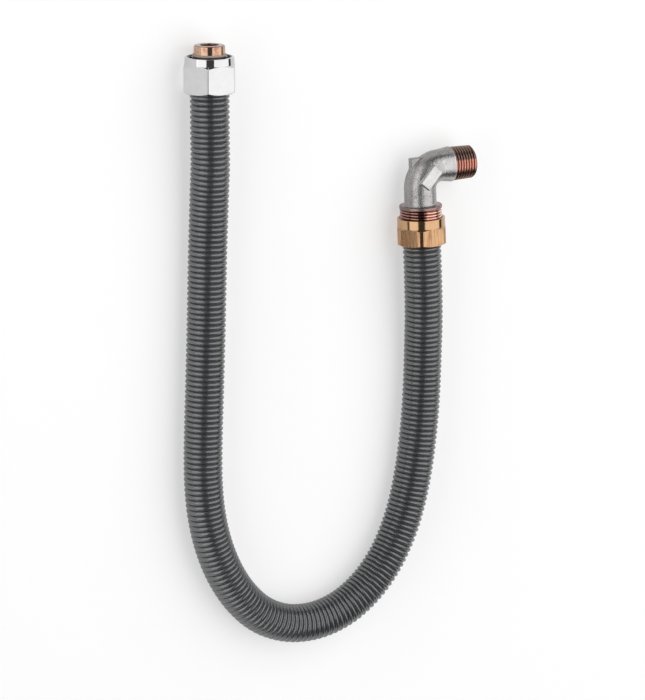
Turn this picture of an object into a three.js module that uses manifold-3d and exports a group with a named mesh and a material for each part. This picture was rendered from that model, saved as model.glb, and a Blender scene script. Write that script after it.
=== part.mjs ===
// Bathtub supply hose: a braided inner hose in a corrugated sleeve, with a swivelling union nut on a
// plug-in tail at one end and a screwed elbow fitting at the other. It lies on the floor in a U.
// Units are millimetres. Z is up, the floor is z = 0, and both open ends point towards +Y.
import * as THREE from 'three';
import { mergeVertices } from 'three/addons/utils/BufferGeometryUtils.js';
import Module from 'manifold-3d';

const wasm = await Module();
wasm.setup();

// Clearances and facets
const GAP = 0.3; // between pieces that touch
const RUNNING_GAP = 0.6; // between pieces that turn or slide on each other
const TURNED_SIDES = 36; // faces round a turned piece
const CAST_SIDES = 28; // faces round the elbow's casting
const CAST_STEPS = 20; // sections along the elbow's casting
const HOSE_SIDES = 12;
const HOSE_STEPS = 48;
const OVERSHOOT = 2; // how far a cutter runs past the piece that it cuts
const FLOOR_PLAY = 0.05; // keeps the sleeve's route just clear of the floor

// Where the two fittings lie
const UNION_X = -82; // axis of the union nut and its tail
const UNION_REAR_Y = 49.8; // rear face of the union nut, on the hose side
const ELBOW_REAR_X = 65.8; // rear face of the elbow's nut, on its axis
const ELBOW_REAR_Y = -56;
const ELBOW_LEAN_DEG = 2.5; // the elbow's axis leans towards the union nut
const ELBOW_RAISE_DEG = 5.5; // the outlet points up from the floor

// Hose and sleeve
const HOSE_OUTSIDE = 16;
const HOSE_BORE = 12.4;
const SLEEVE_OUTSIDE = 24;
const SLEEVE_BORE = 19.5;
const STRAIGHT_END = 24; // the hose leaves each fitting straight for this length

// Crimped ferrules, the same at both ends
const FERRULE_LENGTH = 20;
const FERRULE_WALL = 0.8;
const FERRULE_CAP = 1;

// Barbed nipples of the two tails
const NIPPLE_LENGTH = 22;
const NIPPLE_BORE = 8.6;
const BARB_COUNT = 3;
const BARB_DEPTH = 0.5;
const NECK_OUTSIDE = 17;
const NECK_REACH = 0.5; // how far a neck stands out behind its nut

// Union nut, 30.5 mm across its flats, for a 3/4 inch parallel thread
const UNION_FLATS = 30.5;
const UNION_LENGTH = 22;
const UNION_COLLAR_LENGTH = 4.5;
const UNION_COLLAR_MOUTH = 29.9; // outside diameter at the mouth
const UNION_COLLAR_BASE = 30.4; // outside diameter where the hexagon starts
const UNION_THREAD_BORE = 24.1;
const UNION_MOUTH_BORE = 27;
const UNION_MOUTH_CHAMFER = 1.5;
const UNION_RELIEF_BORE = 26.8; // groove at the inner end of the thread
const UNION_RELIEF_LENGTH = 2.5;
const UNION_SHOULDER = 4; // thickness of the inward shoulder
const SLIP_RING_THICKNESS = 1.5;

// Tail that plugs into the valve
const SPIGOT_OUTSIDE = 19;
const SPIGOT_REACH = 7; // how far it stands out of the nut's mouth
const SPIGOT_BORE = 11.3;
const SPIGOT_ROUND = 1.8; // rounding of its outer edge
const SPIGOT_BORE_DEPTH = 26;
const SPIGOT_BORE_CHAMFER = 0.4;
const TAIL_COLLAR_OUTSIDE = 21.6;
const TAIL_COLLAR_LENGTH = 2.4;
const SEAL_OUTSIDE = 20.4;
const SEAL_THICKNESS = 1.2;
const SEAL_STAND = 1.6; // how far the seal stands out of the nut's mouth

// Nut on the elbow, 30 mm across its flats
const ELBOW_NUT_FLATS = 30;
const ELBOW_NUT_LENGTH = 17;
const ELBOW_NUT_COLLAR_LENGTH = 5.5;
const ELBOW_NUT_COLLAR = 29.9;
const ELBOW_NUT_CHAMFER = 0.5;
const ELBOW_NUT_SHOULDER = 3.5;
const ELBOW_TAIL_COLLAR_LENGTH = 2.2;
const GASKET_THICKNESS = 1.7;
const GASKET_BORE = 15;

// Elbow, a casting with a 3/4 inch parallel and a 1/2 inch taper male thread
const ELBOW_THREAD_OUTSIDE = 26.3;
const ELBOW_THREAD_EXPOSED = 5.7;
const ELBOW_THREAD_CHAMFER = 1;
const FLANGE_OUTSIDE = 26.6;
const FLANGE_THICKNESS = 2;
const FLANGE_CHAMFER = 0.5;
const CASTING_OUTSIDE = 20;
const CASTING_BORE = 14.4;
const LEG_LENGTH = 23.4; // from the flange to the corner of the axes
const BEND_RADIUS = 13.5;
const ROOT_FILLET = 1.6; // where the leg meets the flange
const OUTLET_LIP_OUTSIDE = 21.9; // the casting flares to this where the thread starts
const OUTLET_LIP_LENGTH = 1;
const OUTLET_THREAD_START = 21.1; // measured from the corner of the axes
const OUTLET_THREAD_LENGTH = 14.1;
const OUTLET_THREAD_BASE = 21.3;
const PIPE_TAPER = 1 / 16; // on the diameter
const OUTLET_CHAMFER = 0.8;
const LUG_INSET = 3.6; // the lug's outer faces lie this far inside the casting's
const LUG_THICKNESS = 4.4;
const LUG_CORNER_ROUND = 1.6;
const LUG_EDGE = 0.4;
const PAD_LENGTH = 14.1;
const PAD_WIDTH = 7.4;
const PAD_RISE = 0.9; // above the casting's crown
const PAD_OUT = 3.5; // its middle, measured from the corner of the axes
const PAD_BACK = 5.3;
const PAD_TURN_DEG = 48; // its long side against the outlet
const PAD_SINK = 3; // how far the pad's block runs into the casting
const PAD_EDGE = 0.3;

// Sizes that follow from the ones above
const HEX_CHAMFER_SLOPE = Math.tan(THREE.MathUtils.degToRad(30));
const UNION_AXIS_Z = UNION_FLATS / 2;
const ELBOW_AXIS_Z = ELBOW_NUT_FLATS / 2;
const SLEEVE_REST_Z = SLEEVE_OUTSIDE / 2 + FLOOR_PLAY;
const POLYGON_SHRINK = Math.cos(Math.PI / HOSE_SIDES); // inscribed radius over corner radius
const NIPPLE_OUTSIDE = HOSE_BORE * POLYGON_SHRINK - 2 * GAP;
const FERRULE_BORE = HOSE_OUTSIDE + 2 * GAP;
const FERRULE_OUTSIDE = FERRULE_BORE + 2 * FERRULE_WALL;
const FERRULE_FRONT = -NECK_REACH - GAP;
const HOSE_END = FERRULE_FRONT - FERRULE_CAP - GAP;
const SHOULDER_BORE = NECK_OUTSIDE + 2 * RUNNING_GAP;
const SPIGOT_END = UNION_LENGTH + SPIGOT_REACH;
const SEAL_FRONT = UNION_LENGTH + SEAL_STAND;
const TAIL_COLLAR_FRONT = SEAL_FRONT - SEAL_THICKNESS - GAP;
const ELBOW_NUT_BORE = ELBOW_THREAD_OUTSIDE + 2 * GAP;
const ELBOW_TAIL_COLLAR_REAR = ELBOW_NUT_SHOULDER + GAP;
const GASKET_REAR = ELBOW_TAIL_COLLAR_REAR + ELBOW_TAIL_COLLAR_LENGTH + GAP;
const ELBOW_END = GASKET_REAR + GASKET_THICKNESS + GAP;
const FLANGE_REAR = ELBOW_NUT_LENGTH + ELBOW_THREAD_EXPOSED;
const FLANGE_FRONT = FLANGE_REAR + FLANGE_THICKNESS;
const CORNER_Y = FLANGE_FRONT + LEG_LENGTH;
const OUTLET_END = OUTLET_THREAD_START + OUTLET_THREAD_LENGTH;

// Finishes
const CHROME = finish('#d9dcdf', 0.06, 1);
const BRIGHT_BRASS = finish('#e2b57e', 0.22, 1);
const POLISHED_BRONZE = finish('#e3b48f', 0.12, 1);
const CAST_METAL = finish('#9d9b99', 0.5, 0.8);
const STAINLESS = finish('#b9bcc0', 0.3, 1);
const DARK_PLASTIC = finish('#46484b', 0.5, 0);
const BLACK_RUBBER = finish('#1d1e20', 0.8, 0);
const PALE_PLASTIC = finish('#cfc8be', 0.55, 0);

function finish(color, roughness, metalness) {
  return new THREE.MeshStandardMaterial({ color, roughness, metalness });
}

// A closed three.js geometry as a manifold solid
function solid(geometry) {
  const bare = geometry.clone();
  bare.deleteAttribute('normal');
  bare.deleteAttribute('uv');
  const merged = mergeVertices(bare, 1e-4);
  const vertProperties = Float32Array.from(merged.attributes.position.array);
  const triVerts = Uint32Array.from(merged.index.array);
  return new wasm.Manifold(new wasm.Mesh({ numProp: 3, vertProperties, triVerts }));
}

// A named mesh from a manifold solid
function piece(name, shape, material) {
  const { vertProperties, triVerts } = shape.getMesh();
  const geometry = new THREE.BufferGeometry();
  geometry.setAttribute('position', new THREE.BufferAttribute(vertProperties, 3));
  geometry.setIndex(new THREE.BufferAttribute(triVerts, 1));
  geometry.computeVertexNormals();
  const mesh = new THREE.Mesh(geometry, material);
  mesh.name = name;
  return mesh;
}

// Revolves [diameter, along] points round the Y axis; the outline closes on itself
function turned(outline, sides = TURNED_SIDES) {
  const points = outline.map(([diameter, along]) => new THREE.Vector2(diameter / 2, along));
  const first = points[0];
  if (first.x > 0 || points[points.length - 1].x > 0) points.push(first.clone());
  return solid(new THREE.LatheGeometry(points, sides));
}

// A quarter circle of [diameter, along] points round a centre, between two angles in degrees
function rounding(diameter, along, radius, fromDeg, toDeg, steps = 4) {
  return Array.from({ length: steps + 1 }, (_, step) => {
    const angle = THREE.MathUtils.degToRad(fromDeg + ((toDeg - fromDeg) * step) / steps);
    return [diameter + 2 * radius * Math.cos(angle), along + radius * Math.sin(angle)];
  });
}

// A hexagonal bar round the Y axis with two of its flats level
function hexBar(flats, length) {
  const corner = flats / 2 / Math.cos(Math.PI / 6);
  const bar = new THREE.CylinderGeometry(corner, corner, length, 6);
  bar.rotateY(Math.PI / 2);
  bar.translate(0, length / 2, 0);
  return solid(bar);
}

// The turned outline of a nut: 30 degree chamfers on the hexagon and a round collar at the mouth
function nutTurning(flats, length, collarLength, collarBase, collarMouth, mouthChamfer) {
  const corners = flats / Math.cos(Math.PI / 6) + 0.2;
  const rearFace = flats * 0.95;
  const hexEnd = length - collarLength;
  return turned([
    [0, 0],
    [rearFace, 0],
    [corners, ((corners - rearFace) / 2) * HEX_CHAMFER_SLOPE],
    [corners, hexEnd - ((corners - collarBase) / 2) * HEX_CHAMFER_SLOPE],
    [collarBase, hexEnd],
    [collarMouth, length - mouthChamfer],
    [collarMouth - 2 * mouthChamfer, length],
    [0, length],
  ]);
}

// Swivelling nut, 32 mm across flats, that slides along the tail
function unionNut() {
  const body = hexBar(UNION_FLATS, UNION_LENGTH).intersect(
    nutTurning(UNION_FLATS, UNION_LENGTH, UNION_COLLAR_LENGTH, UNION_COLLAR_BASE, UNION_COLLAR_MOUTH, 0.3),
  );
  const reliefEnd = UNION_SHOULDER + UNION_RELIEF_LENGTH;
  const reliefSlope = (UNION_RELIEF_BORE - UNION_THREAD_BORE) / 2;
  const bore = turned([
    [0, -OVERSHOOT],
    [SHOULDER_BORE, -OVERSHOOT],
    [SHOULDER_BORE, UNION_SHOULDER],
    [UNION_RELIEF_BORE, UNION_SHOULDER],
    [UNION_RELIEF_BORE, reliefEnd],
    [UNION_THREAD_BORE, reliefEnd + reliefSlope],
    [UNION_THREAD_BORE, UNION_LENGTH - UNION_MOUTH_CHAMFER],
    [UNION_MOUTH_BORE, UNION_LENGTH],
    [UNION_MOUTH_BORE, UNION_LENGTH + OVERSHOOT],
    [0, UNION_LENGTH + OVERSHOOT],
  ]);
  return piece('union_nut', body.subtract(bore), CHROME);
}

// Ring between the nut's shoulder and the tail's collar
function slipRing() {
  const rear = UNION_SHOULDER + GAP;
  const front = rear + SLIP_RING_THICKNESS;
  const outside = UNION_THREAD_BORE - RUNNING_GAP;
  const bore = NECK_OUTSIDE + RUNNING_GAP;
  return piece(
    'slip_ring',
    turned([[bore, rear], [outside, rear], [outside, front], [bore, front]]),
    PALE_PLASTIC,
  );
}

// Outline points of a barbed nipple that points backwards from a neck
function nippleOutline(neckRear) {
  const root = NIPPLE_OUTSIDE - 2 * BARB_DEPTH;
  const end = neckRear - NIPPLE_LENGTH;
  const pitch = (NIPPLE_LENGTH * 0.8) / BARB_COUNT;
  const barbs = Array.from({ length: BARB_COUNT }, (_, index) => {
    const tip = end + index * pitch;
    return [[root, tip], [NIPPLE_OUTSIDE, tip + pitch]];
  }).flat();
  return [[NIPPLE_BORE, end], ...barbs, [root, end + BARB_COUNT * pitch], [root, neckRear]];
}

// Hollow tail whose spigot plugs into the valve
function unionTail() {
  const collarRear = TAIL_COLLAR_FRONT - TAIL_COLLAR_LENGTH;
  const boreBottom = SPIGOT_END - SPIGOT_BORE_DEPTH;
  const boreStep = (SPIGOT_BORE - NIPPLE_BORE) / 2;
  const roundAt = SPIGOT_OUTSIDE - 2 * SPIGOT_ROUND;
  return piece(
    'union_tail',
    turned([
      ...nippleOutline(-NECK_REACH),
      [NECK_OUTSIDE, -NECK_REACH],
      [NECK_OUTSIDE, collarRear],
      [TAIL_COLLAR_OUTSIDE, collarRear],
      [TAIL_COLLAR_OUTSIDE, TAIL_COLLAR_FRONT],
      [SPIGOT_OUTSIDE, TAIL_COLLAR_FRONT],
      ...rounding(roundAt, SPIGOT_END - SPIGOT_ROUND, SPIGOT_ROUND, 0, 90),
      [SPIGOT_BORE + 2 * SPIGOT_BORE_CHAMFER, SPIGOT_END],
      [SPIGOT_BORE, SPIGOT_END - SPIGOT_BORE_CHAMFER],
      [SPIGOT_BORE, boreBottom],
      [NIPPLE_BORE, boreBottom - boreStep],
    ]),
    POLISHED_BRONZE,
  );
}

// Flat seal that sits on the tail's collar, round the spigot
function unionSeal() {
  const bore = SPIGOT_OUTSIDE + 2 * GAP;
  const rear = SEAL_FRONT - SEAL_THICKNESS;
  return piece(
    'union_seal',
    turned([[bore, rear], [SEAL_OUTSIDE, rear], [SEAL_OUTSIDE, SEAL_FRONT], [bore, SEAL_FRONT]]),
    PALE_PLASTIC,
  );
}

// Cup that is crimped round the end of the hose, behind a tail's neck
function ferrule(name) {
  const hole = NIPPLE_OUTSIDE + 2 * GAP;
  const rear = FERRULE_FRONT - FERRULE_LENGTH;
  const lip = FERRULE_WALL / 2;
  return piece(
    name,
    turned([
      [FERRULE_BORE, rear],
      [FERRULE_OUTSIDE - 2 * lip, rear],
      [FERRULE_OUTSIDE, rear + lip],
      [FERRULE_OUTSIDE, FERRULE_FRONT - lip],
      [FERRULE_OUTSIDE - 2 * lip, FERRULE_FRONT],
      [hole, FERRULE_FRONT],
      [hole, FERRULE_FRONT - FERRULE_CAP],
      [FERRULE_BORE, FERRULE_FRONT - FERRULE_CAP],
    ]),
    STAINLESS,
  );
}

// Nut that draws the hose's tail against the elbow
function elbowNut() {
  const body = hexBar(ELBOW_NUT_FLATS, ELBOW_NUT_LENGTH).intersect(
    nutTurning(
      ELBOW_NUT_FLATS,
      ELBOW_NUT_LENGTH,
      ELBOW_NUT_COLLAR_LENGTH,
      ELBOW_NUT_COLLAR,
      ELBOW_NUT_COLLAR,
      ELBOW_NUT_CHAMFER,
    ),
  );
  const bore = turned([
    [0, -OVERSHOOT],
    [SHOULDER_BORE, -OVERSHOOT],
    [SHOULDER_BORE, ELBOW_NUT_SHOULDER],
    [ELBOW_NUT_BORE, ELBOW_NUT_SHOULDER],
    [ELBOW_NUT_BORE, ELBOW_NUT_LENGTH + OVERSHOOT],
    [0, ELBOW_NUT_LENGTH + OVERSHOOT],
  ]);
  return piece('elbow_nut', body.subtract(bore), BRIGHT_BRASS);
}

// Collared tail that the elbow's nut holds
function elbowTail() {
  const collar = ELBOW_THREAD_OUTSIDE - 2 * GAP;
  const front = ELBOW_TAIL_COLLAR_REAR + ELBOW_TAIL_COLLAR_LENGTH;
  return piece(
    'elbow_tail',
    turned([
      ...nippleOutline(-NECK_REACH),
      [NECK_OUTSIDE, -NECK_REACH],
      [NECK_OUTSIDE, ELBOW_TAIL_COLLAR_REAR],
      [collar, ELBOW_TAIL_COLLAR_REAR],
      [collar, front],
      [NIPPLE_BORE, front],
    ]),
    BRIGHT_BRASS,
  );
}

// Flat gasket between that tail and the elbow
function elbowGasket() {
  const outside = ELBOW_THREAD_OUTSIDE - 4 * GAP;
  const front = GASKET_REAR + GASKET_THICKNESS;
  return piece(
    'elbow_gasket',
    turned([[GASKET_BORE, GASKET_REAR], [outside, GASKET_REAR], [outside, front], [GASKET_BORE, front]]),
    BLACK_RUBBER,
  );
}

// Centreline of the elbow: up its leg, round the bend and out along X
class ElbowLine extends THREE.Curve {
  constructor(from, to) {
    super();
    this.leg = CORNER_Y - BEND_RADIUS - from;
    this.arc = (BEND_RADIUS * Math.PI) / 2;
    this.outlet = to - BEND_RADIUS;
    this.from = from;
  }

  getPoint(t, target = new THREE.Vector3()) {
    const along = t * (this.leg + this.arc + this.outlet);
    const bendY = CORNER_Y - BEND_RADIUS;
    if (along <= this.leg) return target.set(0, this.from + along, 0);
    if (along >= this.leg + this.arc) {
      return target.set(BEND_RADIUS + along - this.leg - this.arc, CORNER_Y, 0);
    }
    const angle = (along - this.leg) / BEND_RADIUS;
    return target.set(BEND_RADIUS * (1 - Math.cos(angle)), bendY + BEND_RADIUS * Math.sin(angle), 0);
  }
}

// A round bar along the elbow's centreline
function bentBar(diameter, from, to) {
  const section = new THREE.Shape();
  section.absarc(0, 0, diameter / 2, 0, 2 * Math.PI, false);
  return solid(
    new THREE.ExtrudeGeometry(section, {
      curveSegments: CAST_SIDES / 2, // three.js gives a full circle two sides for each
      steps: CAST_STEPS,
      extrudePath: new ElbowLine(from, to),
    }),
  );
}

// Solid with its axis along Y, turned to point out of the elbow's outlet
function alongOutlet(shape) {
  return shape.rotate([0, 0, -90]).translate([0, CORNER_Y, 0]);
}

// Square lug in the outer corner of the bend
function lug() {
  const reach = CASTING_OUTSIDE / 2 - LUG_INSET;
  const shape = new THREE.Shape();
  shape.moveTo(-reach, -BEND_RADIUS);
  shape.lineTo(BEND_RADIUS, -BEND_RADIUS);
  shape.lineTo(BEND_RADIUS, reach);
  shape.lineTo(-reach + LUG_CORNER_ROUND, reach);
  shape.absarc(-reach + LUG_CORNER_ROUND, reach - LUG_CORNER_ROUND, LUG_CORNER_ROUND, Math.PI / 2, Math.PI);
  shape.closePath();
  const plate = new THREE.ExtrudeGeometry(shape, {
    depth: LUG_THICKNESS - 2 * LUG_EDGE,
    bevelThickness: LUG_EDGE,
    bevelSize: LUG_EDGE,
    bevelOffset: -LUG_EDGE,
    bevelSegments: 1,
    curveSegments: 4,
  });
  plate.translate(0, CORNER_Y, -LUG_THICKNESS / 2 + LUG_EDGE);
  const inside = turned([
    [0, -LUG_THICKNESS],
    [2 * BEND_RADIUS, -LUG_THICKNESS],
    [2 * BEND_RADIUS, LUG_THICKNESS],
    [0, LUG_THICKNESS],
  ]).rotate([90, 0, 0]);
  return solid(plate).subtract(inside.translate([BEND_RADIUS, CORNER_Y - BEND_RADIUS, 0]));
}

// Raised blank pad on the crown of the bend, on the side that faces up
function pad() {
  const shape = new THREE.Shape();
  shape.moveTo(-PAD_LENGTH / 2, -PAD_WIDTH / 2);
  shape.lineTo(PAD_LENGTH / 2, -PAD_WIDTH / 2);
  shape.lineTo(PAD_LENGTH / 2, PAD_WIDTH / 2);
  shape.lineTo(-PAD_LENGTH / 2, PAD_WIDTH / 2);
  shape.closePath();
  const block = new THREE.ExtrudeGeometry(shape, {
    depth: PAD_SINK + PAD_RISE - PAD_EDGE,
    bevelThickness: PAD_EDGE,
    bevelSize: PAD_EDGE,
    bevelOffset: -PAD_EDGE,
    bevelSegments: 1,
  });
  block.rotateZ(THREE.MathUtils.degToRad(PAD_TURN_DEG));
  block.translate(PAD_OUT, CORNER_Y - PAD_BACK, CASTING_OUTSIDE / 2 - PAD_SINK);
  return solid(block);
}

// Screwed end of the elbow with its flange and the root of the leg
function elbowBase() {
  const leg = CASTING_OUTSIDE;
  return turned([
    [0, ELBOW_END],
    [ELBOW_THREAD_OUTSIDE - 2 * ELBOW_THREAD_CHAMFER, ELBOW_END],
    [ELBOW_THREAD_OUTSIDE, ELBOW_END + ELBOW_THREAD_CHAMFER],
    [ELBOW_THREAD_OUTSIDE, FLANGE_REAR],
    [FLANGE_OUTSIDE, FLANGE_REAR],
    [FLANGE_OUTSIDE, FLANGE_FRONT - FLANGE_CHAMFER],
    [FLANGE_OUTSIDE - 2 * FLANGE_CHAMFER, FLANGE_FRONT],
    ...rounding(leg + 2 * ROOT_FILLET, FLANGE_FRONT + ROOT_FILLET, ROOT_FILLET, -90, -180),
    [0, FLANGE_FRONT + ROOT_FILLET],
  ]);
}

// Flared end of the casting and its taper thread, along Y
function outletEnd() {
  const tip = OUTLET_THREAD_BASE - OUTLET_THREAD_LENGTH * PIPE_TAPER;
  return turned([
    [0, BEND_RADIUS],
    [CASTING_OUTSIDE - GAP, BEND_RADIUS],
    [OUTLET_LIP_OUTSIDE, OUTLET_THREAD_START - OUTLET_LIP_LENGTH],
    [OUTLET_LIP_OUTSIDE, OUTLET_THREAD_START - GAP],
    [OUTLET_THREAD_BASE, OUTLET_THREAD_START],
    [tip, OUTLET_END - OUTLET_CHAMFER],
    [tip - 2 * OUTLET_CHAMFER, OUTLET_END],
    [0, OUTLET_END],
  ]);
}

// The elbow in one casting, bored right through
function elbow() {
  const body = bentBar(CASTING_OUTSIDE, FLANGE_REAR, OUTLET_THREAD_START - OUTLET_LIP_LENGTH)
    .add(elbowBase())
    .add(alongOutlet(outletEnd()))
    .add(lug())
    .add(pad());
  const bore = bentBar(CASTING_BORE, ELBOW_END - OVERSHOOT, OUTLET_END + OVERSHOOT);
  return piece('elbow', body.subtract(bore), CAST_METAL);
}

// A point of the elbow's axis on the floor plan, measured from the rear face of its nut
function onElbowAxis(along, height) {
  const lean = THREE.MathUtils.degToRad(ELBOW_LEAN_DEG);
  return new THREE.Vector3(
    ELBOW_REAR_X - along * Math.sin(lean),
    ELBOW_REAR_Y + along * Math.cos(lean),
    height,
  );
}

// The hose's route from fitting to fitting, starting and ending this far behind the nuts
function hoseLine(setback) {
  const rest = SLEEVE_REST_Z;
  const points = [
    new THREE.Vector3(UNION_X, UNION_REAR_Y - setback, UNION_AXIS_Z),
    new THREE.Vector3(UNION_X, UNION_REAR_Y - STRAIGHT_END, UNION_AXIS_Z),
    new THREE.Vector3(-81.8, 6.6, rest + 3),
    new THREE.Vector3(-81.8, -13.4, rest + 1.4),
    new THREE.Vector3(-82, -33.4, rest + 0.3),
    new THREE.Vector3(-82.6, -53.4, rest),
    new THREE.Vector3(-83.7, -93.4, rest),
    new THREE.Vector3(-85.1, -133.4, rest),
    new THREE.Vector3(-86.4, -173.4, rest),
    new THREE.Vector3(-86.1, -193.4, rest),
    new THREE.Vector3(-84, -212.9, rest),
    new THREE.Vector3(-79.2, -232.4, rest),
    new THREE.Vector3(-71.4, -250.9, rest),
    new THREE.Vector3(-60.4, -267.4, rest),
    new THREE.Vector3(-45.9, -280.6, rest),
    new THREE.Vector3(-27.5, -288.3, rest),
    new THREE.Vector3(-7.5, -289.2, rest),
    new THREE.Vector3(11.6, -283.6, rest),
    new THREE.Vector3(28.1, -272.4, rest),
    new THREE.Vector3(41.2, -257.4, rest),
    new THREE.Vector3(50.9, -239.8, rest),
    new THREE.Vector3(57.6, -221, rest),
    new THREE.Vector3(62, -201.6, rest),
    new THREE.Vector3(65, -181.8, rest),
    new THREE.Vector3(67, -161.9, rest),
    new THREE.Vector3(68.1, -141.9, rest),
    new THREE.Vector3(68.4, -121.9, rest + 0.5),
    new THREE.Vector3(67.9, -101.9, rest + 2),
    onElbowAxis(-STRAIGHT_END, ELBOW_AXIS_Z),
    onElbowAxis(-setback, ELBOW_AXIS_Z),
  ];
  return new THREE.CatmullRomCurve3(points, false, 'centripetal');
}

// A plain tube along the hose's route
function hoseTube(name, outside, bore, setback, material) {
  const section = new THREE.Shape();
  section.absarc(0, 0, outside / 2, 0, 2 * Math.PI, false);
  const hole = new THREE.Path();
  hole.absarc(0, 0, bore / 2, 0, 2 * Math.PI, true);
  section.holes.push(hole);
  const tube = new THREE.ExtrudeGeometry(section, {
    curveSegments: HOSE_SIDES / 2, // three.js gives a full circle two sides for each
    steps: HOSE_STEPS,
    extrudePath: hoseLine(setback),
  });
  return piece(name, solid(tube), material);
}

// The union fitting, its axis along +Y from the rear face of the nut
function unionEnd() {
  const group = new THREE.Group();
  group.add(unionNut(), slipRing(), unionTail(), unionSeal(), ferrule('union_ferrule'));
  group.position.set(UNION_X, UNION_REAR_Y, UNION_AXIS_Z);
  return group;
}

// The elbow fitting, its axis along +Y from the rear face of the nut, leaning in the floor plan
function elbowEnd() {
  const casting = elbow();
  casting.rotation.y = -THREE.MathUtils.degToRad(ELBOW_RAISE_DEG);
  const group = new THREE.Group();
  group.add(casting, elbowNut(), elbowTail(), elbowGasket(), ferrule('elbow_ferrule'));
  group.position.set(ELBOW_REAR_X, ELBOW_REAR_Y, ELBOW_AXIS_Z);
  group.rotation.z = THREE.MathUtils.degToRad(ELBOW_LEAN_DEG);
  return group;
}

const hose = new THREE.Group();
hose.add(
  unionEnd(),
  elbowEnd(),
  hoseTube('inner_hose', HOSE_OUTSIDE, HOSE_BORE, -HOSE_END, BLACK_RUBBER),
  hoseTube('corrugated_sleeve', SLEEVE_OUTSIDE, SLEEVE_BORE, GAP, DARK_PLASTIC),
);

export default hose;
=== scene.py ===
"""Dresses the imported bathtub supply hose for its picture: fittings, ribbed sleeve and studio."""

import logging
import math
from collections.abc import Callable, Sequence
from dataclasses import dataclass
from enum import Enum
from typing import Protocol

import bmesh
import bpy
import numpy as np
from bpy.types import ID, Material, Node, NodeSocket, Object
from mathutils import Matrix, Vector


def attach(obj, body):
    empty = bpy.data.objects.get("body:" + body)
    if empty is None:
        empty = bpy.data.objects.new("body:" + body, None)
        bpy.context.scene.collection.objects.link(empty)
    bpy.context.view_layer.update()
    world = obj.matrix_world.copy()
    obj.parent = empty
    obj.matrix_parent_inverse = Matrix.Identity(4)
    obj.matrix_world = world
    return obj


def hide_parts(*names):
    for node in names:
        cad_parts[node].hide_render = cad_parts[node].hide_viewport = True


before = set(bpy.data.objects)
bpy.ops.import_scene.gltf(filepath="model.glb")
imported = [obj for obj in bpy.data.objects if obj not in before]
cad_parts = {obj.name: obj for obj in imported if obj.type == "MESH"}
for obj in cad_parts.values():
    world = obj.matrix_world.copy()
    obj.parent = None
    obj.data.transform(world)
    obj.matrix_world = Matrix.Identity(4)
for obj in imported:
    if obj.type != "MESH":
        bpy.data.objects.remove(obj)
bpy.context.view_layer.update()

LOG = logging.getLogger("supply_hose")
MM = 0.001
FAR = 100.0  # mm, beyond every piece
TURNED_SIDES = 96  # faces round a turned piece
Colour = tuple[float, float, float]
ThreadColours = tuple[Colour, Colour, Colour]
Outline = Sequence[tuple[float, float, float]]
Distance = Callable[[np.ndarray], np.ndarray]
Cut = Callable[[np.ndarray, np.ndarray], np.ndarray]


class Body(Enum):
    """The bodies that pieces ride on."""

    HOSE = "hose"
    SLIP_RING = "slip_ring"
    UNION_NUT = "union_nut"


class Slot(Enum):
    """The record's material slots."""

    CHROME = "chrome_nut"
    BRASS = "bright_brass"
    BRONZE = "polished_bronze"
    CASTING = "cast_metal"
    STAINLESS = "stainless"
    DARK_PLASTIC = "dark_plastic"
    PALE_PLASTIC = "pale_plastic"
    RUBBER = "black_rubber"


def linked(name: str, data: ID, place: Matrix) -> Object:
    """Puts an object into the scene.

    Args:
        name: Its name.
        data: Its mesh, camera or lamp.
        place: Where its own axes lie, in metres.

    Returns:
        The object.
    """
    thing = bpy.data.objects.new(name, data)
    thing.matrix_world = place
    bpy.context.scene.collection.objects.link(thing)
    return thing


# Shapes


def eased(corners: np.ndarray, radii: Sequence[float], steps: int = 4) -> np.ndarray:
    """Rounds the corners of closed outlines.

    Args:
        corners: Outline points, (..., points, 2), in mm.
        radii: Rounding of each point in mm, 0 for a corner that stays sharp.
        steps: Facets across each rounding.

    Returns:
        The rounded outlines, (..., more points, 2).
    """
    back = np.roll(corners, 1, axis=-2) - corners
    ahead = np.roll(corners, -1, axis=-2) - corners
    rounded = []
    for index, radius in enumerate(radii):
        corner = corners[..., index, :]
        if radius == 0:
            rounded.append(corner)
            continue
        arms = [back[..., index, :], ahead[..., index, :]]
        reaches = [np.linalg.norm(arm, axis=-1, keepdims=True) for arm in arms]
        units = [arm / np.maximum(reach, 1e-9) for arm, reach in zip(arms, reaches)]
        cosine = np.clip((units[0] * units[1]).sum(-1, keepdims=True), -0.9999, 0.9999)
        cut = radius * np.sqrt((1 + cosine) / (1 - cosine))
        cut = np.minimum(cut, 0.48 * np.minimum(*reaches))
        start, end = corner + units[0] * cut, corner + units[1] * cut
        for share in np.linspace(0, 1, steps + 1):
            rounded.append(
                (1 - share) ** 2 * start + 2 * share * (1 - share) * corner + share**2 * end
            )
    return np.stack(rounded, -2)


@dataclass
class Skin:
    """The points of a surface in mm and the faces between them."""

    points: np.ndarray
    faces: np.ndarray

    def piece(self, name: str, place: Matrix, sharp_deg: float = 35, weld: bool = False) -> Object:
        """Makes the skin a smooth-shaded object.

        Args:
            name: Name of the object.
            place: Where its own axes lie, in metres.
            sharp_deg: Edges that turn more than this stay sharp.
            weld: Whether points in one place become one point.

        Returns:
            The new object, linked to the scene.
        """
        mesh = bpy.data.meshes.new(name)
        mesh.from_pydata((self.points * MM).tolist(), [], self.faces.tolist())
        work = bmesh.new()
        work.from_mesh(mesh)
        if weld:
            bmesh.ops.remove_doubles(work, verts=work.verts, dist=2e-6)
        bmesh.ops.recalc_face_normals(work, faces=work.faces)
        work.to_mesh(mesh)
        work.free()
        mesh.shade_smooth()
        mesh.set_sharp_from_angle(angle=math.radians(sharp_deg))
        return linked(name, mesh, place)


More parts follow.
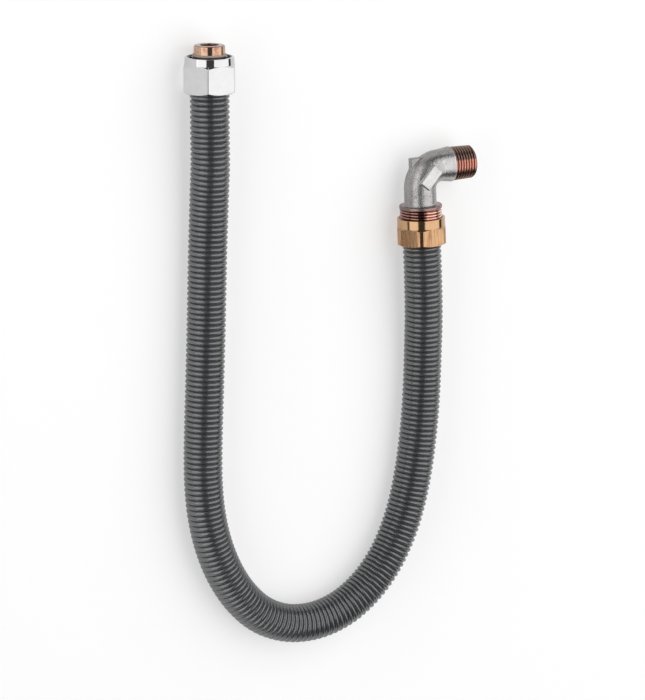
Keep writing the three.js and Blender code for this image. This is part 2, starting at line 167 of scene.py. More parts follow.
def gridded(points: np.ndarray, wrap: bool = True) -> Skin:
    """Quads between the points of a grid whose last row joins its first.

    Args:
        points: The grid, (rows, columns, 3), in mm.
        wrap: Whether the last column joins the first too.

    Returns:
        The skin.
    """
    rows, columns, _ = points.shape
    row, column = np.mgrid[:rows, : columns if wrap else columns - 1]
    above, beside = (row + 1) % rows, (column + 1) % columns
    corners = ((row, column), (row, beside), (above, beside), (above, column))
    quads = np.stack([r * columns + c for r, c in corners], -1)
    return Skin(points.reshape(-1, 3), quads.reshape(-1, 4))


def revolved(
    radius: np.ndarray, along: np.ndarray, angles: np.ndarray, wrap: bool = True
) -> Skin:
    """Wraps a grid of points round the Y axis.

    Args:
        radius: Distance of each point from the axis, (rows, columns), in mm.
        along: Its place along the axis.
        angles: Angle of each column in radians.
        wrap: Whether the last column joins the first.

    Returns:
        A closed skin.
    """
    points = np.stack([radius * np.cos(angles), along, radius * np.sin(angles)], -1)
    return gridded(points, wrap)


def turned(outline: Outline, steps: int = 4) -> Skin:
    """Turns a closed outline with rounded corners round the Y axis.

    Args:
        outline: Points (diameter, along, rounding) in mm.
        steps: Facets across each rounding.

    Returns:
        A closed skin.
    """
    points = np.array([(diameter / 2, along) for diameter, along, _ in outline])
    line = eased(points, [rounding for *_, rounding in outline], steps)
    angles = np.linspace(0, 2 * math.pi, TURNED_SIDES, endpoint=False)
    return revolved(*(line.T[..., None] + 0 * angles), angles)


def washer(
    bore: float, outside: float, rear: float, front: float, roundings: Sequence[float]
) -> Skin:
    """A flat ring round the Y axis.

    Args:
        bore: Inner diameter in mm.
        outside: Outer diameter.
        rear: Where it starts along the axis.
        front: Where it ends.
        roundings: Rounding of its edges: inner rear, outer rear, outer front and inner front.

    Returns:
        A closed skin.
    """
    corners = ((bore, rear), (outside, rear), (outside, front), (bore, front))
    return turned([(*corner, rounding) for corner, rounding in zip(corners, roundings)])


@dataclass(frozen=True)
class HexCorners:
    """The edge of a hexagonal bar, seen along its axis, its corners cut to a narrow strip.

    Fields:
        flats: Width across the flats in mm.
        strip: Width of the strip on each corner.
        cut: How much deeper the strips lie than a plain cut, as a share of their width.
        columns: Columns of points across each flat.
        margin_deg: Angle between the strip and the first of them.
    """

    flats: float
    strip: float
    cut: float = 0.14
    columns: int = 19
    margin_deg: float = 0.4

    def reach(self) -> float:
        """Distance of a strip from the axis in mm."""
        corner = (self.flats - self.strip / 2) / 2 / math.cos(math.pi / 6)
        return corner - self.strip * self.cut

    def angles(self) -> np.ndarray:
        """Angles of the columns of points, close together at the corners, in radians.

        Returns:
            The angles.
        """
        edge = math.degrees(math.atan(self.strip / 2 / self.reach()))
        margin = self.margin_deg
        flat = np.linspace(edge + margin, 60 - edge - margin, self.columns)
        sector = np.array([-edge, 0, edge, *flat])
        return np.radians(np.concatenate([sector + 60 * side for side in range(6)]))

    def radius(self, angles: np.ndarray) -> np.ndarray:
        """Distance of the edge from the axis at each angle, in mm.

        Args:
            angles: The angles in radians.

        Returns:
            The radii in mm.
        """
        turn = np.radians((np.degrees(angles) + 30) % 60 - 30)
        on_flat = self.flats / 2 / np.cos(math.pi / 6 - np.abs(turn))
        return np.minimum(on_flat, self.reach() / np.cos(turn))


@dataclass(frozen=True)
class PipeThread:
    """A rounded 55 degree pipe thread of 14 turns to the inch."""

    pitch: float = 1.814
    depth: float = 1.162
    rows_per_turn: int = 12
    columns: int = 120

    def height(self, turns: np.ndarray) -> np.ndarray:
        """Height of the thread above its root, 0 to depth, at a place counted in pitches.

        Args:
            turns: Places counted in pitches.

        Returns:
            The heights in mm.
        """
        wave = 1.6 - 4.4 * np.abs(turns % 1 - 0.5)  # straight flanks, past 1 at crest and root
        wave = wave / (1 + np.abs(wave) ** 6) ** (1 / 6)  # rounded off just short of 1
        return self.depth * (0.5 + 0.5 * wave / 0.97).clip(0, 1)

    def skin(self, first: float, last: float, radius: Cut, wall: float) -> Skin:
        """A ring with the thread on one side, its rows of points along the helix.

        Args:
            first: Where it starts along the axis in mm.
            last: Where it ends.
            radius: Radius of the threaded side from the place along the axis and the height.
            wall: Radius of the plain side.

        Returns:
            A closed skin that still has to be welded.
        """
        step = self.pitch / self.rows_per_turn
        count = math.ceil((last - first) / step) + self.rows_per_turn + 1
        angles = np.linspace(0, 2 * math.pi, self.columns + 1)
        advance = angles / (2 * math.pi) * self.pitch
        free = first - self.pitch + np.arange(count)[:, None] * step + advance
        along = np.clip(free, first, last)
        rim = radius(along, self.height((along - advance) / self.pitch))
        ends = np.array([[last], [first]]) + 0 * advance
        rim = np.concatenate([rim, np.full_like(ends, wall)])
        return revolved(rim, np.concatenate([along, ends]), angles, wrap=False)


# Rounded solids given by their distance from each point


def disc(
    along: np.ndarray, radial: np.ndarray, ends: tuple[float, float], radius: float, edge: float
) -> np.ndarray:
    """Distance from a cylinder with rounded edges, all in mm.

    Args:
        along: Place along the axis in mm.
        radial: Distance of each point from the axis.
        ends: Where the cylinder starts and ends.
        radius: Radius of the cylinder.
        edge: Rounding of its edges.

    Returns:
        Distance of each point.
    """
    middle, half = sum(ends) / 2, (ends[1] - ends[0]) / 2
    out = np.stack([radial - radius + edge, np.abs(along - middle) - half + edge])
    return np.minimum(out.max(0), 0) + np.linalg.norm(np.maximum(out, 0), axis=0) - edge


def block(points: np.ndarray, half: Sequence[float], edge: float) -> np.ndarray:
    """Distance from a block round the origin with rounded edges, all in mm."""
    out = np.abs(points) - np.array(half) + edge
    return np.minimum(out.max(-1), 0) + np.linalg.norm(np.maximum(out, 0), axis=-1) - edge


def melted(one: np.ndarray, other: np.ndarray, fillet: float) -> np.ndarray:
    """Distance from two solids that meet in a fillet."""
    share = np.clip(0.5 + 0.5 * (other - one) / fillet, 0, 1)
    return other + (one - other) * share - fillet * share * (1 - share)


def netted(
    distance: Distance, low: Sequence[float], high: Sequence[float], step: float
) -> Skin:
    """Nets the surface where a distance is zero in even quads.

    Args:
        distance: Distance of each point (..., 3) from the solid, negative inside.
        low: Lowest corner of the space that holds the solid, in mm.
        high: Its highest corner.
        step: Size of the quads.

    Returns:
        A closed skin.
    """
    axes = [np.arange(a, b + step, step) for a, b in zip(low, high)]
    plane = np.stack(np.meshgrid(axes[1], axes[2], indexing="ij"), -1)
    values = np.empty([len(axis) for axis in axes])
    for index, x in enumerate(axes[0]):
        sheet = np.full((*plane.shape[:2], 1), x)
        values[index] = distance(np.concatenate([sheet, plane], -1))
    inside = values < 0
    shape = np.array(values.shape) - 1
    corners = [np.array(c) for c in np.ndindex(2, 2, 2)]
    unit = np.eye(3, dtype=int)

    def shifted(array: np.ndarray, offset: np.ndarray) -> np.ndarray:
        """The part of the array that starts at an offset, in the size of the cells."""
        return array[tuple(slice(o, o + n) for o, n in zip(offset, shape))]

    count = sum(shifted(inside, c).astype(int) for c in corners)
    cells = np.argwhere((count > 0) & (count < 8))
    number = np.full(shape, -1)
    number[tuple(cells.T)] = np.arange(len(cells))
    total, crossings = np.zeros((len(cells), 3)), np.zeros((len(cells), 1))
    for corner in corners:
        for axis in range(3):
            if corner[axis]:
                continue
            far = corner + unit[axis]
            a = values[tuple((cells + corner).T)]
            b = values[tuple((cells + far).T)]
            crosses = ((a < 0) != (b < 0))[:, None]
            share = (a / np.where(a == b, 1, a - b))[:, None]
            total += np.where(crosses, corner + share * (far - corner), 0)
            crossings += crosses
    points = np.array(low) + step * (cells + total / crossings)
    faces = []
    for axis in range(3):
        side, up = unit[(axis + 1) % 3], unit[(axis + 2) % 3]
        reach = np.array(values.shape) - unit[axis]
        near = inside[tuple(slice(0, n) for n in reach)]
        beyond = inside[tuple(slice(u, u + n) for u, n in zip(unit[axis], reach))]
        edges = np.argwhere(near != beyond)
        quad = [number[tuple((edges - s).T)] for s in (side + up, up, 0 * up, side)]
        faces.append(np.stack(quad, -1))
    return Skin(settled(points, distance), np.concatenate(faces))


def settled(points: np.ndarray, distance: Distance, rounds: int = 3) -> np.ndarray:
    """Moves points onto the surface where a distance is zero.

    Args:
        points: Points near the surface, in mm.
        distance: Distance of a point from the solid.
        rounds: How often the points are moved.

    Returns:
        The moved points.
    """
    reach, longest_move, least_slope = 0.02, 0.2, 0.5
    shifts = [np.eye(3)[axis] * reach for axis in range(3)]
    for _ in range(rounds):
        slope = np.stack(
            [(distance(points + s) - distance(points - s)) / (2 * reach) for s in shifts], -1
        )
        steepness = np.maximum((slope**2).sum(-1, keepdims=True), least_slope**2)
        move = distance(points)[:, None] * slope / steepness
        points = points - np.clip(move, -longest_move, longest_move)
    return points


# Finishes


class NodeBoard:
    """The nodes of one material, with places on the piece in mm."""

    def __init__(self, name: str) -> None:
        """Starts a material of that name with a plain shader.

        Args:
            name: Name of the material.
        """
        self.material = bpy.data.materials.new(name)
        self.material.use_nodes = True
        self.tree = self.material.node_tree
        self.shader = self.tree.nodes["Principled BSDF"]

    def add(self, kind: str, settings: dict | None = None, inputs: dict | None = None) -> Node:
        """Adds a node.

        Args:
            kind: Its type, without the leading ShaderNode.
            settings: Its own properties.
            inputs: A number, colour or socket for each named or numbered input.

        Returns:
            The node.
        """
        node = self.tree.nodes.new("ShaderNode" + kind)
        for key, value in (settings or {}).items():
            setattr(node, key, value)
        for key, value in (inputs or {}).items():
            self.put(node.inputs[key], value)
        return node

    def put(self, socket: NodeSocket, value: object) -> None:
        """Sets a socket to a value, or links it to another socket.

        Args:
            socket: The socket.
            value: A number, a colour or another socket.
        """
        if isinstance(value, NodeSocket):
            self.tree.links.new(value, socket)
        elif isinstance(value, tuple) and len(value) == 3 and socket.type == "RGBA":
            socket.default_value = (*value, 1.0)
        else:
            socket.default_value = value

    def dress(self, colour: NodeSocket, rough: object, **inputs: object) -> Material:
        """Sets the shader's inputs, the others named with underscores for spaces.

        Args:
            colour: The base colour.
            rough: The roughness.
            **inputs: Any other inputs.

        Returns:
            The material.
        """
        for key, value in {"Base_Color": colour, "Roughness": rough, **inputs}.items():
            self.put(self.shader.inputs[key.replace("_", " ")], value)
        return self.material

    def plate(self, colour: NodeSocket, rough: object, normal: NodeSocket) -> Material:
        """Makes the material a metal."""
        return self.dress(colour, rough, Normal=normal, Metallic=1.0)

    def place(self, stretch: tuple[float, float, float] = (1, 1, 1)) -> NodeSocket:
        """Places on the piece in mm, each direction multiplied by its stretch.

        Args:
            stretch: Multiplier of each direction.

        Returns:
            The place.
        """
        scale = tuple(s / MM for s in stretch)
        source = self.add("TexCoord").outputs["Object"]
        return self.add("Mapping", inputs={"Vector": source, "Scale": scale}).outputs[0]

    def noise(
        self, scale: float, detail: float = 3, rough: float = 0.55, stretch: tuple = (1, 1, 1)
    ) -> NodeSocket:
        """Soft noise of that many spots to a millimetre, from 0 to 1.

        Args:
            scale: Spots to a millimetre.
            detail: Levels of finer spots.
            rough: Strength of the finer spots.
            stretch: Multiplier of each direction.

        Returns:
            The noise.
        """
        where = self.place(stretch)
        values = {"Vector": where, "Scale": scale, "Detail": detail, "Roughness": rough}
        return self.add("TexNoise", inputs=values).outputs[0]

    def ranged(
        self, value: NodeSocket, low: float, high: float, start: float = 0, end: float = 1
    ) -> NodeSocket:
        """The value with low..high moved to start..end and held there."""
        inputs = dict(enumerate((value, low, high, start, end)))
        return self.add("MapRange", inputs=inputs).outputs[0]

    def blend(self, share: NodeSocket, one: object, other: object) -> NodeSocket:
        """One colour where the share is 0 and the other where it is 1."""
        inputs = {0: share, 6: one, 7: other}
        return self.add("Mix", {"data_type": "RGBA"}, inputs).outputs[2]

    def maths(self, operation: str, one: object, other: object) -> NodeSocket:
        """The result of one sum."""
        return self.add("Math", {"operation": operation}, {0: one, 1: other}).outputs[0]

    def bump(
        self, height: NodeSocket, depth: float, strength: float, under: NodeSocket | None = None
    ) -> NodeSocket:
        """Tilts the surface by a height of that depth in mm, over another bump if any.

        Args:
            height: The height, from 0 to 1.
            depth: What a height of 1 stands for, in mm.
            strength: Share of the tilt that is kept.
            under: The bump below it.

        Returns:
            The normal.
        """
        values: dict = {"Height": height, "Distance": depth * MM, "Strength": strength}
        if under is not None:
            values["Normal"] = under
        return self.add("Bump", inputs=values).outputs[0]

    def off_axis(self) -> NodeSocket:
        """Distance from the piece's Y axis in mm."""
        flat = self.place((1, 0, 1))
        return self.add("VectorMath", {"operation": "LENGTH"}, {0: flat}).outputs["Value"]

    def along(self, axis: int = 1) -> NodeSocket:
        """Place along one of the piece's axes in mm."""
        return self.add("SeparateXYZ", inputs={0: self.place()}).outputs[axis]


@dataclass(frozen=True)
class Chrome:
    """Polished chrome plating with a faint waviness, smears and hairlines."""

    bright: Colour = (0.58, 0.58, 0.58)
    dim: Colour = (0.545, 0.545, 0.547)

    def material(self) -> Material:
        """Builds the chrome.

        Returns:
            The material.
        """
        board = NodeBoard("polished_chrome")
        smears = board.noise(0.16, 4)
        hairlines = board.noise(2.6, 2, 0.7, (3.0, 0.12, 3.0))
        smeared = board.ranged(smears, 0.4, 0.75, 0.045, 0.08)
        rough = board.maths("ADD", smeared, board.ranged(hairlines, 0.62, 0.78, 0, 0.06))
        normal = board.bump(hairlines, 0.002, 0.2, board.bump(board.noise(0.11, 1), 0.05, 0.1))
        colour = board.blend(board.ranged(smears, 0.35, 0.7), self.bright, self.dim)
        return board.plate(colour, rough, normal)


@dataclass(frozen=True)
class BrushedBrass:
    """Brass with dull brush marks along the hexagon, and smooth where it is turned beyond it."""

    brushed_until: float = FAR
    bright: Colour = (0.51, 0.315, 0.175)
    dull: Colour = (0.28, 0.135, 0.068)

    def material(self) -> Material:
        """Builds the brass.

        Returns:
            The material.
        """
        board = NodeBoard("brushed_brass")
        marks = board.ranged(board.noise(1.3, 4, 0.7, (1.0, 0.06, 1.0)), 0.42, 0.62)
        end = self.brushed_until
        brushed = board.ranged(board.along(), end - 0.3, end, 1, 0.12)
        streaks = board.maths("MULTIPLY", marks, brushed)
        cloud = board.ranged(board.noise(0.14, 4), 0.5, 0.8, 0, 0.3)
        shade = board.maths("ADD", board.maths("MULTIPLY", streaks, 0.75), cloud)
        colour = board.blend(shade, self.bright, self.dull)
        rough = board.ranged(streaks, 0, 1, 0.11, 0.3)
        return board.plate(colour, rough, board.bump(streaks, 0.02, 0.4))


@dataclass(frozen=True)
class TurnedBronze:
    """Pinkish bronze with fine lathe rings and patches.

    Fields:
        shaded_until: Place along the axis up to which it is painted dark, as shade inside the nut.
        dim_end_from: Place from which the end face is painted darker, as a dim reflection.
    """

    shaded_until: float = -FAR
    dim_end_from: float = FAR
    bright: Colour = (0.52, 0.35, 0.25)
    pink: Colour = (0.34, 0.12, 0.07)
    shaded_in_nut: Colour = (0.11, 0.06, 0.045)
    dim_end_face: Colour = (0.27, 0.17, 0.135)

    def material(self) -> Material:
        """Builds the bronze.

        Returns:
            The material.
        """
        board = NodeBoard("turned_bronze")
        rings = board.noise(1.0, 3, 0.7, (0.04, 7.0, 0.04))
        patches = board.ranged(board.noise(0.28, 4, 0.65), 0.48, 0.66, 0, 0.85)
        shade = board.maths("ADD", patches, board.ranged(rings, 0.5, 0.8, 0, 0.3))
        # Painted shade: up to a place along the axis, where the tail lies inside the nut, the
        # colour is dark.
        unshaded = board.ranged(board.along(), self.shaded_until, self.shaded_until + 0.2)
        # Painted reflection: the end face is coloured darker, as a dimmer reflection.
        ended = board.ranged(board.along(), self.dim_end_from, self.dim_end_from + 0.3)
        plain_tone = board.blend(ended, board.blend(shade, self.bright, self.pink), self.dim_end_face)
        colour = board.blend(unshaded, self.shaded_in_nut, plain_tone)
        rough = board.ranged(rings, 0.3, 0.7, 0.1, 0.2)
        return board.plate(colour, rough, board.bump(rings, 0.006, 0.4))


@dataclass(frozen=True)
class CutThread:
    """Cut thread with rubbed crests and dark roots, painted darker outside a strip along it as a
    dark reflection.

    Fields:
        root_radius: Radius of the thread's root at the start of the axis, in mm.
        depth: Height of the crests above it.
        taper: How much the radius shrinks for each millimetre along the axis.
        name: Name of the material.
        plain_tone: Colours of its roots, flanks and crests.
        dark_reflection: The same colours, painted darker outside the strip as a dark reflection.
        strip: Places across the axis between which it keeps its plain tone, in mm.
    """

    root_radius: float
    depth: float
    taper: float = 0.0
    name: str = "cut_thread"
    plain_tone: ThreadColours = ((0.23, 0.1, 0.08), (0.52, 0.27, 0.215), (0.8, 0.52, 0.44))
    dark_reflection: ThreadColours = ((0.09, 0.05, 0.045), (0.2, 0.1, 0.09), (0.36, 0.19, 0.165))
    strip: tuple[float, float] = (-FAR, FAR)

    def material(self) -> Material:
        """Builds the thread's metal.

        Returns:
            The material.
        """
        board = NodeBoard(self.name)
        shrink = board.maths("MULTIPLY", board.along(), self.taper)
        radius = board.maths("ADD", board.off_axis(), shrink)
        cloud = board.noise(0.35, 4)
        lift = board.ranged(radius, self.root_radius, self.root_radius + self.depth)
        worn = board.maths("ADD", lift, board.ranged(cloud, 0.3, 0.7, -0.12, 0.12))
        across = board.maths("ADD", board.along(0), board.ranged(cloud, 0.3, 0.7, -0.6, 0.6))
        # Painted reflection: outside the strip the thread takes the darker colours, standing in
        # for a dark reflection.
        start, end = self.strip
        after = board.ranged(across, start - 0.4, start + 0.4)
        kept = board.maths("MULTIPLY", after, board.ranged(across, end - 0.4, end + 0.4, 1, 0))
        on_flank, on_crest = board.ranged(worn, 0.1, 0.5), board.ranged(worn, 0.5, 0.85)
        dull, bright = (
            board.blend(on_crest, board.blend(on_flank, root, flank), crest)
            for root, flank, crest in (self.dark_reflection, self.plain_tone)
        )
        marks = board.noise(1.0, 3, stretch=(0.6, 6.0, 0.6))
        rough = board.ranged(worn, 0, 1, 0.32, 0.09)
        return board.plate(board.blend(kept, dull, bright), rough, board.bump(marks, 0.006, 0.2))


@dataclass(frozen=True)
class BlastedCasting:
    """Grey blasted gunmetal casting with a fine grain, painted darker towards its lower side as
    shade.

    Fields:
        dark: Colour of the grain's hollows and of the painted shade.
        rough: Least roughness.
        polished_from: Place along X from which it is rubbed to the polished colour.
        shaded_below: Height below which it is painted darker, as shade.
    """

    light: Colour = (0.45, 0.436, 0.433)
    dark: Colour = (0.25, 0.236, 0.233)
    rough: float = 0.2
    grain: float = 1.0
    polished: Colour = (0.53, 0.52, 0.515)
    polished_from: float = FAR
    shaded_below: float = 8.4

    def material(self) -> Material:
        """Builds the casting's surface.

        Returns:
            The material.
        """
        board = NodeBoard("blasted_casting")
        grit = board.noise(1.4, 4, 0.7)
        lumps = board.noise(0.45, 3)
        cloud = board.ranged(board.noise(0.12, 4), 0.4, 0.7, -0.2, 0.3)
        shade = board.maths("ADD", board.ranged(grit, 0.42, 0.68, 0, 0.9), cloud)
        # Painted shade: below a height on the piece the colour goes towards the dark one.
        height = board.maths("ADD", board.along(2), board.ranged(lumps, 0.3, 0.7, -1, 1))
        bright = board.ranged(height, self.shaded_below - 3, self.shaded_below)
        shade = board.maths("ADD", shade, board.ranged(bright, 0, 1, 0.6, 0))
        ragged = board.maths("ADD", board.along(0), board.ranged(lumps, 0.3, 0.7, -2, 2))
        smooth = board.ranged(ragged, self.polished_from, self.polished_from + 1)
        smooth = board.maths("MULTIPLY", smooth, bright)
        colour = board.blend(smooth, board.blend(shade, self.light, self.dark), self.polished)
        rough = board.ranged(grit, 0.3, 0.7, self.rough, self.rough + 0.14)
        lumpy = board.bump(lumps, 0.25, 0.3 * self.grain)
        return board.plate(colour, rough, board.bump(grit, 0.18 * self.grain, 0.7, lumpy))


@dataclass(frozen=True)
class SleevePlastic:
    """Dark grey moulded plastic with a soft gloss and faint scuffs."""

    base: Colour = (0.042, 0.045, 0.048)
    scuffed: Colour = (0.056, 0.060, 0.064)

    def material(self) -> Material:
        """Builds the plastic.

        Returns:
            The material.
        """
        board = NodeBoard("ribbed_plastic")
        scuffs = board.noise(0.35, 5, 0.65)
        return board.dress(
            board.blend(board.ranged(scuffs, 0.45, 0.8, 0, 0.8), self.base, self.scuffed),
            board.ranged(scuffs, 0.3, 0.7, 0.19, 0.29),
            IOR=1.7,
            Specular_IOR_Level=0.9,
            Normal=board.bump(board.noise(2.2, 3), 0.02, 0.25),
        )


@dataclass(frozen=True)
class MouldedPart:
    """A small moulded piece of rubber or plastic with a faint grain."""

    name: str
    base: Colour
    worn: Colour
    rough: float = 0.55

    def material(self) -> Material:
        """Builds the moulded surface.

        Returns:
            The material.
        """
        board = NodeBoard(self.name)
        grain = board.noise(3.0, 2)
        return board.dress(
            board.blend(board.ranged(board.noise(0.3, 4), 0.35, 0.7), self.base, self.worn),
            board.ranged(grain, 0.3, 0.7, self.rough - 0.06, self.rough + 0.08),
            Normal=board.bump(grain, 0.03, 0.3),
        )


@dataclass(frozen=True)
class PressedSteel:
    """Pressed stainless steel with drawing marks along the piece."""

    bright: Colour = (0.62, 0.63, 0.64)
    dim: Colour = (0.45, 0.46, 0.47)

    def material(self) -> Material:
        """Builds the steel.

        Returns:
            The material.
        """
        board = NodeBoard("pressed_steel")
        marks = board.noise(1.0, 3, 0.6, (4.0, 0.15, 4.0))
        colour = board.blend(board.ranged(marks, 0.35, 0.7), self.bright, self.dim)
        rough = board.ranged(marks, 0.3, 0.7, 0.22, 0.36)
        return board.plate(colour, rough, board.bump(marks, 0.008, 0.3))


# Pieces


class Finish(Protocol):
    """What a piece can be made of."""

    def material(self) -> Material:
        """Builds its material."""


def made(
    skin: Skin, name: str, place: Matrix, finish: Finish, slot: Slot, node: str,
    body: Body = Body.HOSE, **shading: float,
) -> Object:
    """Makes a skin a finished piece that rides on its body.

    Args:
        skin: Its surface.
        name: Its name.
        place: Where its own axes lie, in metres.
        finish: What it is made of.
        slot: Not used.
        node: The CAD node that it stands for.
        body: The body that carries it.
        **shading: What Skin.piece takes of sharp_deg and weld.

    Returns:
        The piece.
    """
    piece = skin.piece(name, place, **shading)
    piece.data.materials.append(finish.material())
    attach(piece, body.value)
    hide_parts(node)
    return piece


def levelled(piece: Object) -> Object:
    """Gives a piece normals that keep its large faces flat beside small roundings.

    Args:
        piece: The piece.

    Returns:
        The same piece.
    """
    even = piece.modifiers.new("even_shading", "WEIGHTED_NORMAL")
    even.keep_sharp = True
    even.weight = 90
    return piece


@dataclass(frozen=True)
class HexNut:
    """Outside of a nut with chamfered hexagon and round collar; lengths run from its rear face.

    Fields:
        flats: Width across the flats.
        length: Whole length.
        collar_length: Length of the round collar at the mouth.
        collar_base: Diameter of the collar where the hexagon ends.
        collar_mouth: Diameter of the collar at the mouth.
        bore: Inner outline as (diameter, along, rounding), from the mouth back to the rear face.
        corner_strip: Width of the narrow flat on each corner.
        edge: Rounding of the edge between a flat and a chamfer.
        rear_share: Radius of the rear face as a share of the flats.
        chamfer_slope: Length of a chamfer along the axis for each millimetre outwards.
    """

    flats: float
    length: float
    collar_length: float
    collar_base: float
    collar_mouth: float
    bore: Outline
    corner_strip: float = 0.3
    edge: float = 0.3
    rear_share: float = 0.475
    chamfer_slope: float = math.tan(math.radians(30))

    def skin(self) -> Skin:
        """The nut's closed skin, its axis along Y.

        Returns:
            A closed skin.
        """
        hexagon = HexCorners(self.flats, self.corner_strip)
        angles = hexagon.angles()
        radius = hexagon.radius(angles)
        rear_face, collar = self.flats * self.rear_share, self.collar_base / 2
        hex_end = self.length - self.collar_length
        outline = [
            (rear_face, 0, 0.15),
            (radius, (radius - rear_face) * self.chamfer_slope, self.edge),
            (radius, hex_end - (radius - collar) * self.chamfer_slope, self.edge),
            (collar, hex_end, 0.25), (self.collar_mouth / 2, self.length, 0.35),
            *((diameter / 2, along, rounding) for diameter, along, rounding in self.bore),
        ]
        corners = [np.stack([r + 0 * radius, a + 0 * radius], -1) for r, a, _ in outline]
        rows = eased(np.stack(corners, -2), [rounding for *_, rounding in outline])
        return revolved(*rows.T, angles)


@dataclass(frozen=True)
class HosePiping:
    """What both fittings have of the hose's end, in mm: the barbed nipple and the ferrule.

    Fields:
        gap: Room round the hose and the nipple in the ferrule.
        neck_reach: How far the neck stands out of the nut's rear face.
        crimp_first: Distance of the first crimp from the ferrule's rear.
        crimp_half: Half the length of a crimp.
    """

    gap: float = 0.3
    neck: float = 17.0
    neck_reach: float = 0.5
    nipple: float = 11.377
    nipple_length: float = 22.0
    nipple_bore: float = 8.6
    barb_depth: float = 0.5
    barbs: int = 3
    ferrule_length: float = 20.0
    ferrule_wall: float = 0.8
    ferrule_floor: float = 1.0
    crimps: int = 3
    crimp_first: float = 4.5
    crimp_pitch: float = 5.0
    crimp_half: float = 1.4
    crimp_depth: float = 0.5
    hose: float = 16.0

    def tail_outline(self) -> Outline:
        """Outline of the nipple from its open end up to the neck.

        Returns:
            Points (diameter, along, rounding) in mm.
        """
        root = self.nipple - 2 * self.barb_depth
        start = -self.neck_reach - self.nipple_length
        pitch = self.nipple_length * 0.8 / self.barbs
        outline = [(self.nipple_bore, start, 0.0)]
        for index in range(self.barbs):
            tip = start + index * pitch
            outline += [(root, tip, 0.1), (self.nipple, tip + pitch, 0.05)]
        outline += [(root, start + self.barbs * pitch, 0.1), (root, -self.neck_reach, 0.2)]
        return [*outline, (self.neck, -self.neck_reach, 0.3)]

    def ferrule(self) -> Skin:
        """The crimped cup round the end of the hose.

        Returns:
            A closed skin.
        """
        front = -self.neck_reach - self.gap
        rear, floor = front - self.ferrule_length, front - self.ferrule_floor
        bore = self.hose + 2 * self.gap
        outside = bore + 2 * self.ferrule_wall
        hole = self.nipple + 2 * self.gap
        outline = [(bore, rear, 0.2), (outside, rear, 0.3)]
        for index in range(self.crimps):
            middle = rear + self.crimp_first + self.crimp_pitch * index
            outline += [
                (outside, middle - self.crimp_half, 0.3),
                (outside - self.crimp_depth, middle, 0.6),
                (outside, middle + self.crimp_half, 0.3),
            ]
        outline += [(outside, front, 0.6), (hole, front, 0.2), (hole, floor, 0.1)]
        return turned([*outline, (bore, floor, 0.2)])


@dataclass
class Fitting:
    """What both fittings are, in mm: a place, a nut's rear hole and the end of the hose.

    Fields:
        origin: Middle of the nut's rear face.
        lean_deg: Turn of its axis over the floor, away from Y.
        side: How the name of its ferrule starts.
    """

    origin: tuple[float, float, float]
    lean_deg: float
    side: str
    shoulder_bore: float = 18.2
    end: HosePiping = HosePiping()

    def place(self) -> Matrix:
        """Where the axes of the nut and the hose's end lie."""
        lean = Matrix.Rotation(math.radians(self.lean_deg), 4, "Z")
        return Matrix.Translation(Vector(self.origin) * MM) @ lean

    def on_axis(self, along: float) -> tuple[float, float, float]:
        """A point of that axis in mm.

        Args:
            along: Place along the axis in mm.

        Returns:
            The point.
        """
        lean = math.radians(self.lean_deg)
        x, y, z = self.origin
        return x - along * math.sin(lean), y + along * math.cos(lean), z

    def ferrule(self) -> Object:
        """The crimped ferrule of this end.

        Returns:
            The piece.
        """
        node = f"{self.side}_ferrule"
        skin, steel = self.end.ferrule(), PressedSteel()
        return made(skin, f"{node}_pressed", self.place(), steel, Slot.STAINLESS, node)


